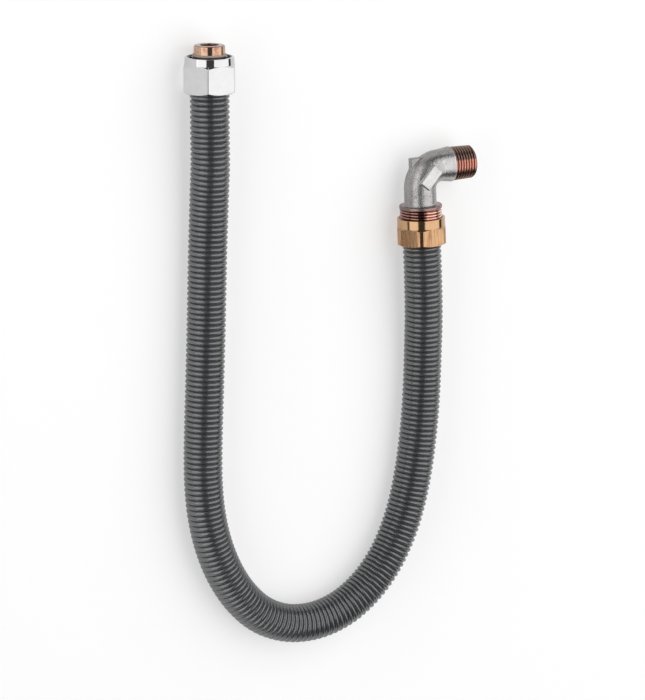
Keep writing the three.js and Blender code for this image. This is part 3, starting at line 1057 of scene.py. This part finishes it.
@dataclass
class UnionFitting(Fitting):
    """The swivelling nut with its thread, the slip ring, the plug-in tail and its seal."""

    origin: tuple[float, float, float] = (-82.0, 49.8, 15.25)
    lean_deg: float = 0.0
    side: str = "union"
    length: float = 22.0
    thread_bore: float = 24.1
    mouth_bore: float = 27.0
    mouth_chamfer: float = 1.5
    relief_bore: float = 26.8
    relief_end: float = 6.5
    shoulder: float = 4.0
    spigot: float = 19.0
    spigot_end: float = 29.0
    spigot_bore: float = 11.3
    bore_bottom: float = 3.0
    tail_collar: float = 21.6
    collar_rear: float = 19.7
    collar_front: float = 22.1
    seal: float = 20.4
    seal_thickness: float = 1.2
    seal_front: float = 23.6
    slip_bore: float = 17.6
    slip_outside: float = 23.5
    slip_rear: float = 4.3
    slip_front: float = 5.8

    def nut(self) -> Object:
        """The chromed nut round its thread.

        Returns:
            The piece.
        """
        seat = PipeThread().depth * 2 + self.thread_bore + 0.1
        shape = HexNut(
            flats=30.5, length=self.length,
            collar_length=4.5, collar_base=30.4, collar_mouth=29.9,
            bore=(
                (self.mouth_bore + 0.1, self.length, 0.2), (seat, self.length - 0.7, 0.0),
                (seat, self.relief_end, 0.0), (self.relief_bore, self.relief_end, 0.0),
                (self.relief_bore, self.shoulder, 0.2),
                (self.shoulder_bore, self.shoulder, 0.2), (self.shoulder_bore, 0.0, 0.3),
            ),
        )
        return levelled(made(
            shape.skin(), "union_nut_body", self.place(),
            Chrome(), Slot.CHROME, "union_nut", Body.UNION_NUT,
        ))

    def nut_thread(self) -> Object:
        """The thread in the nut, cut back by the chamfer at the mouth.

        Returns:
            The piece.
        """
        slope = (self.mouth_bore - self.thread_bore) / 2 / self.mouth_chamfer

        def radius(along: np.ndarray, height: np.ndarray) -> np.ndarray:
            """Radius of the cut surface.

            Args:
                along: Place along the axis in mm.
                height: Height of the thread there.

            Returns:
                The radii in mm.
            """
            mouth = self.mouth_bore / 2 - (self.length - along) * slope
            relief = self.relief_bore / 2 - (along - self.relief_end)
            return np.maximum(self.thread_bore / 2 + height, np.maximum(mouth, relief))

        thread = PipeThread()
        wall = self.mouth_bore / 2 + 0.12
        ring = thread.skin(self.relief_end, self.length - 0.02, radius, wall)
        # Painted shade: the nut's thread is coloured near black all over, as the shade inside the
        # nut's mouth.
        dark = ((0.02, 0.017, 0.015), (0.04, 0.035, 0.03), (0.075, 0.065, 0.06))
        return made(
            ring, "union_nut_thread", self.place(),
            CutThread(self.thread_bore / 2, thread.depth, 0.0, "nut_thread", dark, dark),
            Slot.CHROME, "union_nut", Body.UNION_NUT, weld=True,
        )

    def slip_ring(self) -> Object:
        """The plastic ring between the nut's shoulder and the tail's collar.

        Returns:
            The piece.
        """
        sizes = self.slip_bore, self.slip_outside, self.slip_rear, self.slip_front
        return made(
            washer(*sizes, (0.2, 0.2, 0.2, 0.2)), "slip_ring_moulded", self.place(),
            MouldedPart("pale_slip_ring", (0.62, 0.59, 0.53), (0.54, 0.51, 0.46)),
            Slot.PALE_PLASTIC, "slip_ring", Body.SLIP_RING,
        )

    def tail(self) -> Object:
        """The bronze tail with its collar and spigot.

        Returns:
            The piece.
        """
        step = (self.spigot_bore - self.end.nipple_bore) / 2
        skin = turned([
            *self.end.tail_outline(),
            (self.end.neck, self.collar_rear, 0.3), (self.tail_collar, self.collar_rear, 0.2),
            (self.tail_collar, self.collar_front, 0.3), (self.spigot, self.collar_front, 0.1),
            (self.spigot, self.spigot_end, 1.3), (self.spigot_bore, self.spigot_end, 0.45),
            (self.spigot_bore, self.bore_bottom, 0.1),
            (self.end.nipple_bore, self.bore_bottom - step, 0.1),
        ], steps=7)
        # The tail is painted dark up to just past its collar, as the shade inside the nut.
        finish = TurnedBronze(self.collar_front + 0.1, self.spigot_end - 0.6)
        return made(skin, "union_tail_turned", self.place(), finish, Slot.BRONZE, "union_tail")

    def seal_ring(self) -> Object:
        """The flat seal round the spigot.

        Returns:
            The piece.
        """
        rear = self.seal_front - self.seal_thickness
        skin = washer(self.spigot + 0.2, self.seal, rear, self.seal_front, (0.1, 0.15, 0.35, 0.1))
        return made(
            skin, "union_seal_moulded", self.place(),
            MouldedPart("pale_seal", (0.46, 0.42, 0.38), (0.36, 0.32, 0.28), 0.6),
            Slot.PALE_PLASTIC, "union_seal",
        )

    def build(self) -> list[Object]:
        """Makes every piece of the fitting."""
        outside = [self.nut(), self.nut_thread(), self.slip_ring()]
        return [*outside, self.tail(), self.seal_ring(), self.ferrule()]


@dataclass
class ElbowFitting(Fitting):
    """The elbow casting with its two male threads, the nut on it, and the tail and gasket inside.

    Fields:
        corner: Place of the outlet's axis along the leg's.
        leg_start: Where the casting's leg starts, inside the flange.
        pipe_end: Where the pipe ends, inside the flare.
        taper: How much the outlet's radius shrinks for each millimetre.
        lug_inset: How far the lug's edges lie inside the pipe's outside.
        pad_out: Middle of the pad along the outlet, from the leg's axis.
        pad_back: Its distance back from the outlet's axis.
    """

    origin: tuple[float, float, float] = (65.8, -56.0, 15.0)
    lean_deg: float = 2.5
    side: str = "elbow"
    raise_deg: float = 5.5
    corner: float = 48.1
    bend: float = 13.5
    casting: float = 20.0
    casting_bore: float = 14.4
    leg_start: float = 23.6
    pipe_end: float = 20.0
    flange: float = 26.6
    flange_rear: float = 22.7
    flange_front: float = 24.7
    inlet_thread: float = 26.3
    inlet_start: float = 8.3
    lip: float = 21.9
    outlet_start: float = 21.1
    outlet_end: float = 35.2
    outlet_base: float = 21.3
    outlet_chamfer: float = 0.8
    taper: float = 1 / 32
    lining_rear: float = 19.5
    lug_inset: float = 3.6
    lug_thickness: float = 4.4
    pad_length: float = 14.1
    pad_width: float = 7.4
    pad_depth: float = 5.0
    pad_out: float = 3.5
    pad_back: float = 5.3
    pad_top: float = 10.9
    pad_turn_deg: float = 48.0
    pad_end: float = 56.0
    net_low: tuple[float, float, float] = (-14.2, 21.9, -14.2)
    net_high: tuple[float, float, float] = (21.6, 60.0, 14.2)
    net_step: float = 0.3
    nut_length: float = 17.0
    nut_shoulder: float = 3.5
    collar_rear: float = 3.8
    collar_front: float = 6.0
    gasket_bore: float = 15.0
    gasket_rear: float = 6.3
    gasket_front: float = 8.0

    def casting_place(self) -> Matrix:
        """Where the casting's axes lie, its outlet raised from the floor."""
        return self.place() @ Matrix.Rotation(-math.radians(self.raise_deg), 4, "Y")

    def outlet_place(self) -> Matrix:
        """Axes whose Y points out of the outlet from the corner of the bend."""
        corner = Matrix.Translation((0, self.corner * MM, 0))
        return self.casting_place() @ corner @ Matrix.Rotation(-math.pi / 2, 4, "Z")

    def off_line(self, points: np.ndarray) -> np.ndarray:
        """Distance from the centreline of the leg, the bend and the outlet.

        Args:
            points: Points in the casting's own axes, (..., 3), in mm.

        Returns:
            Distance of each point.
        """
        x, y, z = np.moveaxis(points, -1, 0)
        bend_y = self.corner - self.bend
        leg = np.hypot(x, z) + np.maximum(y - bend_y, 0) * 1e3
        outlet = np.hypot(y - self.corner, z) + np.maximum(self.bend - x, 0) * 1e3
        turn = np.hypot(np.hypot(x - self.bend, y - bend_y) - self.bend, z)
        in_bend = (x < self.bend) & (y > bend_y)
        return np.where(in_bend, turn, np.minimum(leg, outlet))

    def lug(self, points: np.ndarray) -> np.ndarray:
        """Distance from the square lug behind the bend.

        Args:
            points: Points in the casting's own axes, (..., 3), in mm.

        Returns:
            Distance of each point.
        """
        x, y, _ = np.moveaxis(points, -1, 0)
        reach = self.casting / 2 - self.lug_inset
        half = (self.bend + reach) / 2
        middle = np.array([half - reach, self.corner + reach - half, 0])
        plate = block(points - middle, (half, half, self.lug_thickness / 2), 0.55)
        return np.maximum(plate, self.bend - np.hypot(x - self.bend, y - self.corner + self.bend))

    def pad(self, points: np.ndarray) -> np.ndarray:
        """Distance from the bare pad on the bend's crown.

        Args:
            points: Points in the casting's own axes, (..., 3), in mm.

        Returns:
            Distance of each point.
        """
        x, y, z = np.moveaxis(points, -1, 0)
        turn = math.radians(self.pad_turn_deg)
        half = self.pad_depth / 2
        px, py = x - self.pad_out, y - (self.corner - self.pad_back)
        across = np.stack([
            px * math.cos(turn) + py * math.sin(turn),
            py * math.cos(turn) - px * math.sin(turn),
            z - (self.pad_top - half),
        ], -1)
        return block(across, (self.pad_length / 2, self.pad_width / 2, half), 0.4)

    def flare(self, points: np.ndarray) -> np.ndarray:
        """Distance from the widening that ends in the outlet's lip.

        Args:
            points: Points in the casting's own axes, (..., 3), in mm.

        Returns:
            Distance of each point.
        """
        x, y, z = np.moveaxis(points, -1, 0)
        widening = np.clip((x - self.bend) / (self.outlet_start - 1 - self.bend), 0, 1)
        radius = self.casting / 2 + (self.lip - self.casting) / 2 * widening
        flare = np.hypot(y - self.corner, z) - radius
        flare = -melted(-flare, self.outlet_start - 0.25 - x, 0.4)
        return np.maximum(flare, self.bend - x)

    def distance(self, points: np.ndarray) -> np.ndarray:
        """Distance from the whole casting without its threads.

        Args:
            points: Points in the casting's own axes, (..., 3), in mm.

        Returns:
            Distance of each point.
        """
        x, y, z = np.moveaxis(points, -1, 0)
        line = self.off_line(points)
        cut = np.maximum(self.leg_start - y, x - self.pipe_end)
        pipe = np.maximum(line - self.casting / 2, cut)
        ends = self.flange_rear, self.flange_front
        rim = disc(y, np.hypot(x, z), ends, self.flange / 2, 0.45)
        solid = melted(pipe, self.lug(points), 1.1)
        solid = melted(solid, self.pad(points), 0.45)
        solid = np.minimum(melted(solid, rim, 2.0), self.flare(points))
        return np.maximum(solid, self.casting_bore / 2 - line)

    def body(self) -> Object:
        """The casting: pipe, flange, lug, shoulder and bare pad.

        Returns:
            The piece.
        """
        casting = made(
            netted(self.distance, self.net_low, self.net_high, self.net_step),
            "elbow_casting", self.casting_place(), BlastedCasting(polished_from=13.0),
            Slot.CASTING, "elbow", sharp_deg=60,
        )
        smooth = BlastedCasting((0.62, 0.61, 0.60), (0.40, 0.39, 0.38), 0.34, 0.4)
        # The flange's rim is painted darker and pinkish brown, as a reflection of the threads
        # beside it.
        rim_reflection = BlastedCasting((0.32, 0.225, 0.20), (0.20, 0.14, 0.125), 0.26, 0.5)
        for finish in (smooth, rim_reflection):
            casting.data.materials.append(finish.material())
        for face in casting.data.polygons:
            x, y, z = face.center / MM
            on_rim = math.hypot(x, z) > self.flange / 2 - 1.6
            if on_rim and y < self.flange_front + 0.5:
                face.material_index = 2
            elif z > self.pad_top - 0.35 and y < self.pad_end or x > self.outlet_start - 0.4:
                face.material_index = 1
        return casting

    def inlet_thread_ring(self) -> Object:
        """The parallel thread that shows between the nut and the flange.

        Returns:
            The piece.
        """
        thread = PipeThread()
        root = self.inlet_thread / 2 - thread.depth

        def radius(along: np.ndarray, height: np.ndarray) -> np.ndarray:
            """Radius of the cut surface with its chamfered start."""
            return np.minimum(root + height, root + 0.2 + (along - self.inlet_start))

        front, wall = self.flange_rear + 0.4, self.casting_bore / 2
        # The inlet thread is painted darker on the side away from the outlet, as a dark
        # reflection.
        return made(
            thread.skin(self.inlet_start, front, radius, wall), "elbow_inlet_thread",
            self.casting_place(), CutThread(root, thread.depth, strip=(-1.5, FAR)),
            Slot.BRONZE, "elbow", weld=True,
        )

    def outlet_thread_ring(self) -> Object:
        """The taper thread of the outlet with its chamfered tip.

        Returns:
            The piece.
        """
        thread = PipeThread()
        crest = self.outlet_base / 2
        tip = crest - (self.outlet_end - self.outlet_start) * self.taper

        def radius(along: np.ndarray, height: np.ndarray) -> np.ndarray:
            """Radius of the cut surface on its cone.

            Args:
                along: Place along the axis in mm.
                height: Height of the thread there.

            Returns:
                The radii in mm.
            """
            cone = crest - (along - self.outlet_start) * self.taper
            chamfer = tip - self.outlet_chamfer + (self.outlet_end - along)
            return np.minimum(cone - thread.depth + height, chamfer)

        # The outlet thread is painted darker outside a strip along it, as a dark reflection.
        finish = CutThread(
            crest - thread.depth + self.outlet_start * self.taper,
            thread.depth, self.taper, "taper_thread",
            plain_tone=((0.09, 0.037, 0.026), (0.35, 0.14, 0.10), (0.61, 0.285, 0.22)),
            dark_reflection=((0.035, 0.024, 0.019), (0.10, 0.06, 0.048), (0.20, 0.125, 0.10)),
            strip=(-3.4, 4.3),
        )
        rear, wall = self.outlet_start - 0.6, self.casting_bore / 2 + 0.3
        return made(
            thread.skin(rear, self.outlet_end, radius, wall), "elbow_outlet_thread",
            self.outlet_place(), finish, Slot.BRONZE, "elbow", weld=True,
        )

    def outlet_lining(self) -> Object:
        """The bore inside that thread.

        Returns:
            The piece.
        """
        outside = self.casting_bore + 0.7
        skin = turned([
            (self.casting_bore, self.lining_rear, 0.0), (outside, self.lining_rear, 0.0),
            (outside, self.outlet_end - 0.01, 0.0),
            (self.casting_bore, self.outlet_end - 0.3, 0.0),
        ])
        place, finish = self.outlet_place(), TurnedBronze()
        return made(skin, "elbow_outlet_bore", place, finish, Slot.BRONZE, "elbow")

    def nut(self) -> Object:
        """The brushed brass nut.

        Returns:
            The piece.
        """
        bore = self.inlet_thread + 0.6
        shape = HexNut(
            flats=30.0, length=self.nut_length, corner_strip=2.0,
            collar_length=5.5, collar_base=29.9, collar_mouth=29.9,
            bore=(
                (bore, self.nut_length, 0.3), (bore, self.nut_shoulder, 0.2),
                (self.shoulder_bore, self.nut_shoulder, 0.2), (self.shoulder_bore, 0.0, 0.3),
            ),
        )
        finish = BrushedBrass(shape.length - shape.collar_length)
        skin, place = shape.skin(), self.place()
        return levelled(made(skin, "elbow_nut_body", place, finish, Slot.BRASS, "elbow_nut"))

    def tail(self) -> Object:
        """The collared tail that the nut holds.

        Returns:
            The piece.
        """
        collar = self.inlet_thread - 0.6
        skin = turned([
            *self.end.tail_outline(),
            (self.end.neck, self.collar_rear, 0.3), (collar, self.collar_rear, 0.2),
            (collar, self.collar_front, 0.2), (self.end.nipple_bore, self.collar_front, 0.3),
        ])
        place, finish = self.place(), BrushedBrass()
        return made(skin, "elbow_tail_turned", place, finish, Slot.BRASS, "elbow_tail")

    def gasket(self) -> Object:
        """The rubber gasket between the tail and the casting.

        Returns:
            The piece.
        """
        sizes = self.gasket_bore, self.inlet_thread - 1.2, self.gasket_rear, self.gasket_front
        return made(
            washer(*sizes, (0.2, 0.3, 0.3, 0.2)), "elbow_gasket_moulded", self.place(),
            MouldedPart("black_gasket", (0.02, 0.02, 0.021), (0.035, 0.035, 0.036), 0.7),
            Slot.RUBBER, "elbow_gasket",
        )

    def build(self) -> list[Object]:
        """Makes every piece of the fitting.

        Returns:
            The pieces.
        """
        rings = [self.body(), self.inlet_thread_ring(), self.outlet_thread_ring()]
        inside = [self.outlet_lining(), self.nut(), self.tail()]
        return [*rings, *inside, self.gasket(), self.ferrule()]


@dataclass
class HoseRoute:
    """The smooth line that the hose follows over the floor, in mm.

    Fields:
        setback: Distance of its ends from the nuts' rear faces.
        rest: Height of the line where the sleeve lies on the floor.
        straight: Length behind each nut that stays in line with it.
        lying: Points between as (x, y, rise above the rest).
    """

    union: UnionFitting
    elbow: ElbowFitting
    setback: float
    rest: float = 12.05
    straight: float = 24.0
    lying: Outline = (
        (-81.8, 6.6, 3), (-81.8, -13.4, 1.4), (-82, -33.4, 0.3), (-82.6, -53.4, 0),
        (-83.7, -93.4, 0), (-85.1, -133.4, 0), (-86.4, -173.4, 0), (-86.1, -193.4, 0),
        (-84, -212.9, 0), (-79.2, -232.4, 0), (-71.4, -250.9, 0), (-60.4, -267.4, 0),
        (-45.9, -280.6, 0), (-27.5, -288.3, 0), (-7.5, -289.2, 0), (11.6, -283.6, 0),
        (28.1, -272.4, 0), (41.2, -257.4, 0), (50.9, -239.8, 0), (57.6, -221, 0),
        (62, -201.6, 0), (65, -181.8, 0), (67, -161.9, 0), (68.1, -141.9, 0),
        (68.4, -121.9, 0.5), (67.9, -101.9, 2),
    )

    def knots(self) -> np.ndarray:
        """The points that the line passes through.

        Returns:
            The points.
        """
        behind = -self.setback, -self.straight
        first = [self.union.on_axis(along) for along in behind]
        middle = [(x, y, self.rest + rise) for x, y, rise in self.lying]
        last = [self.elbow.on_axis(along) for along in reversed(behind)]
        return np.array(first + middle + last)

    def fine(self, steps: int = 40) -> np.ndarray:
        """The line in short steps between its knots.

        Args:
            steps: Steps between two knots.

        Returns:
            The points of the line.
        """
        knots = self.knots()
        before, after = 2 * knots[0] - knots[1], 2 * knots[-1] - knots[-2]
        knots = np.concatenate([[before], knots, [after]])
        reach = np.sqrt(np.linalg.norm(np.diff(knots, axis=0), axis=1))
        share = np.linspace(0, 1, steps, endpoint=False)[:, None]
        parts = []
        for i in range(1, len(knots) - 2):
            p0, p1, p2, p3 = knots[i - 1 : i + 3]
            d0, d1, d2 = reach[i - 1 : i + 2]
            leave = ((p1 - p0) / d0 - (p2 - p0) / (d0 + d1) + (p2 - p1) / d1) * d1
            arrive = ((p2 - p1) / d1 - (p3 - p1) / (d1 + d2) + (p3 - p2) / d2) * d1
            bend = 2 * p1 - 2 * p2 + leave + arrive
            sway = -3 * p1 + 3 * p2 - 2 * leave - arrive
            parts.append(bend * share**3 + sway * share**2 + leave * share + p1)
        return np.concatenate([*parts, knots[-2:-1]])

    def length(self) -> float:
        """Length of the line in mm."""
        return float(np.linalg.norm(np.diff(self.fine(), axis=0), axis=1).sum())

    def at(self, distances: np.ndarray) -> np.ndarray:
        """Points of the line at distances from its start.

        Args:
            distances: Distances from the line's start.

        Returns:
            The points, (places, 3).
        """
        line = self.fine()
        run = np.concatenate([[0], np.linalg.norm(np.diff(line, axis=0), axis=1).cumsum()])
        return np.stack([np.interp(distances, run, line[:, axis]) for axis in range(3)], -1)

    def rings(
        self, distances: np.ndarray, radii: np.ndarray | float, sides: int, near: float = 1.5
    ) -> np.ndarray:
        """Rings of points round the line.

        Args:
            distances: Place of each ring along it.
            radii: Radius of each, or of all of them.
            sides: Points in a ring.
            near: Distance to either side over which the line's direction is taken.

        Returns:
            The points, (rings, sides, 3).
        """
        ahead = self.at(np.minimum(distances + near, self.length()))
        ahead -= self.at(np.maximum(distances - near, 0))
        ahead /= np.linalg.norm(ahead, axis=1, keepdims=True)
        side = np.cross(ahead, (0, 0, 1))
        side /= np.linalg.norm(side, axis=1, keepdims=True)
        up = np.cross(side, ahead)
        turn = np.linspace(0, 2 * math.pi, sides, endpoint=False)[None, :, None]
        arm = side[:, None] * np.cos(turn) + up[:, None] * np.sin(turn)
        reach = np.broadcast_to(radii, distances.shape)[:, None, None]
        return self.at(distances)[:, None] + reach * arm


@dataclass
class SupplyHose:
    """The corrugated sleeve and the plain hose inside it, in mm.

    Fields:
        pitch: Length of a rib, before the last one is made to fit.
        crest: Radius of the ribs.
        valley: Radius between them.
        rib: Outline of a rib as (share of its length, share of its height).
    """

    union: UnionFitting
    elbow: ElbowFitting
    pitch: float = 3.2
    crest: float = 12.0
    valley: float = 10.7
    bore: float = 9.75
    sides: int = 40
    bore_rings: int = 160
    setback: float = 0.3
    hose_bore: float = 12.4
    hose_setback: float = 2.1
    hose_sides: int = 32
    hose_rings: int = 260
    rib: tuple[tuple[float, float], ...] = (
        (0.0, 0.0), (0.08, 0.3), (0.19, 0.6), (0.31, 0.85), (0.41, 0.97),
        (0.5, 1.0), (0.59, 0.97), (0.69, 0.85), (0.81, 0.6), (0.92, 0.3),
    )

    def ribs(self, length: float) -> tuple[np.ndarray, np.ndarray]:
        """Places along a sleeve of that length and the radius at each of them.

        Args:
            length: Length of the sleeve in mm.

        Returns:
            The places and the radii.
        """
        count = round(length / self.pitch)
        share, lift = np.array(self.rib).T
        places = ((np.arange(count)[:, None] + share) * (length / count)).ravel()
        radii = np.tile(self.valley + (self.crest - self.valley) * lift, count)
        return np.append(places, length), np.append(radii, self.valley)

    def inner_hose(self) -> Object:
        """The hose inside the sleeve.

        Returns:
            The piece.
        """
        route = HoseRoute(self.union, self.elbow, self.hose_setback)
        places = np.linspace(0, route.length(), self.hose_rings)
        outer = route.rings(places, self.union.end.hose / 2, self.hose_sides)
        inner = route.rings(places[::-1], self.hose_bore / 2, self.hose_sides)
        return made(
            gridded(np.concatenate([outer, inner])), "inner_hose_tube", Matrix.Identity(4),
            MouldedPart("hose_rubber", (0.018, 0.018, 0.019), (0.034, 0.034, 0.035), 0.6),
            Slot.RUBBER, "inner_hose",
        )

    def build(self) -> list[Object]:
        """Returns:
            The pieces.
        """
        route = HoseRoute(self.union, self.elbow, self.setback)
        length = route.length()
        places, radii = self.ribs(length)
        outer = route.rings(places, radii, self.sides)
        inner = route.rings(np.linspace(length, 0, self.bore_rings), self.bore, self.sides)
        sleeve = made(
            gridded(np.concatenate([outer, inner])), "ribbed_sleeve", Matrix.Identity(4),
            SleevePlastic(), Slot.DARK_PLASTIC, "corrugated_sleeve", sharp_deg=80,
        )
        hose = self.inner_hose()
        path = route.at(places) * MM
        LOG.info("sleeve length %.1f mm", length)
        return [sleeve, hose]


# Studio


def facing(side: Vector, up: Vector, back: Vector, spot: Vector) -> Matrix:
    """The place at a spot whose X, Y and Z point to the side, up and back."""
    return Matrix.Translation(spot) @ Matrix((side, up, back)).transposed().to_4x4()


@dataclass(frozen=True)
class Softbox:
    """A large soft lamp, placed by its angles seen from the fittings.

    Fields:
        start_deg: Its one edge, to the right of the camera's direction.
        end_deg: Its other edge.
        half_height_deg: How far it reaches above and below that direction.
        brightness: Its even brightness, where 1 shows as white.
        distance: Its distance from the fittings in metres.
    """

    name: str
    start_deg: float
    end_deg: float
    half_height_deg: float = 46.0
    brightness: float = 1.5
    distance: float = 1.5


@dataclass
class Studio:
    """Camera, floor, background and lamps, in metres.

    Fields:
        turn_deg: Turn of the camera from straight above towards the left.
        rise_deg: Turn of the camera from straight above towards the top of the picture.
        target: What the camera points at.
        lit: What the lamps point at.
        walls_end: Heights on the background between which its pale walls end.
    """

    turn_deg: float = 29.0
    rise_deg: float = 12.5
    target: tuple[float, float, float] = (0.0036, -0.1199, 0.0)
    distance: float = 2.551
    lens: float = 211.6
    sensor: float = 36.0
    lit: tuple[float, float, float] = (-0.01, 0.03, 0.016)
    lamps: tuple[Softbox, ...] = (
        Softbox("left_softbox", -59.5, -15.0),
        Softbox("right_softbox", 21.0, 98.0),
    )
    floor_reach: float = 9.0
    floor_glow: float = 0.47
    wall_light: float = 0.95
    room_light: float = 0.07
    walls_end: tuple[float, float] = (0.07, 0.13)

    def axes(self) -> tuple[Vector, Vector, Vector]:
        """Directions to the right, up and out of the picture.

        Returns:
            The three directions.
        """
        turn, rise = math.radians(self.turn_deg), math.radians(self.rise_deg)
        level = math.cos(rise)
        out = Vector((-math.sin(turn) * level, math.sin(rise), math.cos(turn) * level))
        right = Vector((math.cos(turn), 0, math.sin(turn)))
        return right, out.cross(right), out

    def camera(self) -> None:
        """Puts the camera at the photograph's viewing angle."""
        right, up, out = self.axes()
        data = bpy.data.cameras.new("camera")
        data.sensor_fit = "VERTICAL"
        data.sensor_height = self.sensor
        data.lens = self.lens
        spot = Vector(self.target) + out * self.distance
        bpy.context.scene.camera = linked("camera", data, facing(right, up, out, spot))

    def floor(self) -> None:
        """Lays a pale floor that keeps the object's shadow."""
        mesh = bpy.data.meshes.new("floor")
        corners = ((-1, -1), (1, -1), (1, 1), (-1, 1))
        reach = self.floor_reach
        mesh.from_pydata([(x * reach, y * reach, 0) for x, y in corners], [], [(0, 1, 2, 3)])
        floor = linked("floor", mesh, Matrix.Identity(4))
        board = NodeBoard("white_floor")
        rays = board.add("LightPath").outputs
        seen = board.maths("MAXIMUM", rays["Is Camera Ray"], rays["Is Glossy Ray"])
        seen = board.maths("MAXIMUM", seen, rays["Is Transmission Ray"])
        floor.data.materials.append(board.dress(
            board.blend(board.noise(0.02, 2), (0.60, 0.60, 0.60), (0.61, 0.61, 0.61)),
            0.7,
            Specular_IOR_Level=0.1,
            Emission_Color=(1.0, 1.0, 1.0),
            Emission_Strength=board.maths("MULTIPLY", seen, self.floor_glow),
        ))

    def background(self) -> None:
        """Makes a dim room with pale walls low down, the same for every ray."""
        world = bpy.data.worlds.new("studio")
        world.use_nodes = True
        bpy.context.scene.world = world
        tree = world.node_tree
        ground = tree.nodes["Background"]
        ground.inputs["Color"].default_value = (1, 1, 1, 1)
        towards, height, level = (
            tree.nodes.new("ShaderNode" + kind) for kind in ("TexCoord", "SeparateXYZ", "MapRange")
        )
        ends = (*self.walls_end, self.wall_light, self.room_light)
        for name, value in zip(("From Min", "From Max", "To Min", "To Max"), ends):
            level.inputs[name].default_value = value
        tree.links.new(towards.outputs["Generated"], height.inputs[0])
        tree.links.new(height.outputs[2], level.inputs["Value"])
        tree.links.new(level.outputs[0], ground.inputs["Strength"])

    def lamp(self, box: Softbox) -> None:
        """Hangs one softbox so that it faces the fittings.

        Args:
            box: The softbox.
        """
        right, up, out = self.axes()
        middle = math.radians((box.start_deg + box.end_deg) / 2)
        half = math.radians((box.end_deg - box.start_deg) / 2)
        back = out * math.cos(middle) + right * math.sin(middle)
        width = 2 * box.distance * math.tan(half)
        height = 2 * box.distance * math.tan(math.radians(box.half_height_deg))
        data = bpy.data.lights.new(box.name, "AREA")
        data.shape = "RECTANGLE"
        data.size, data.size_y = width, height
        data.energy = box.brightness * math.pi * width * height
        spot = Vector(self.lit) + back * box.distance
        lamp = linked(box.name, data, facing(up.cross(back), up, back, spot))
        lamp.visible_camera = False

    def build(self) -> None:
        """Sets up the camera, the floor, the background and the lamps."""
        self.camera()
        self.floor()
        self.background()
        for box in self.lamps:
            self.lamp(box)
        bpy.context.scene.view_settings.view_transform = "Standard"


def main() -> None:
    """Builds the studio, the hose and the fittings."""
    logging.basicConfig(level=logging.INFO, format="%(message)s")
    Studio().build()
    union, elbow = UnionFitting(), ElbowFitting()
    for assembly in (SupplyHose(union, elbow), union, elbow):
        for piece in assembly.build():
            LOG.info("%s: %d faces", piece.name, len(piece.data.polygons))


if __name__ == "__main__":
    main()
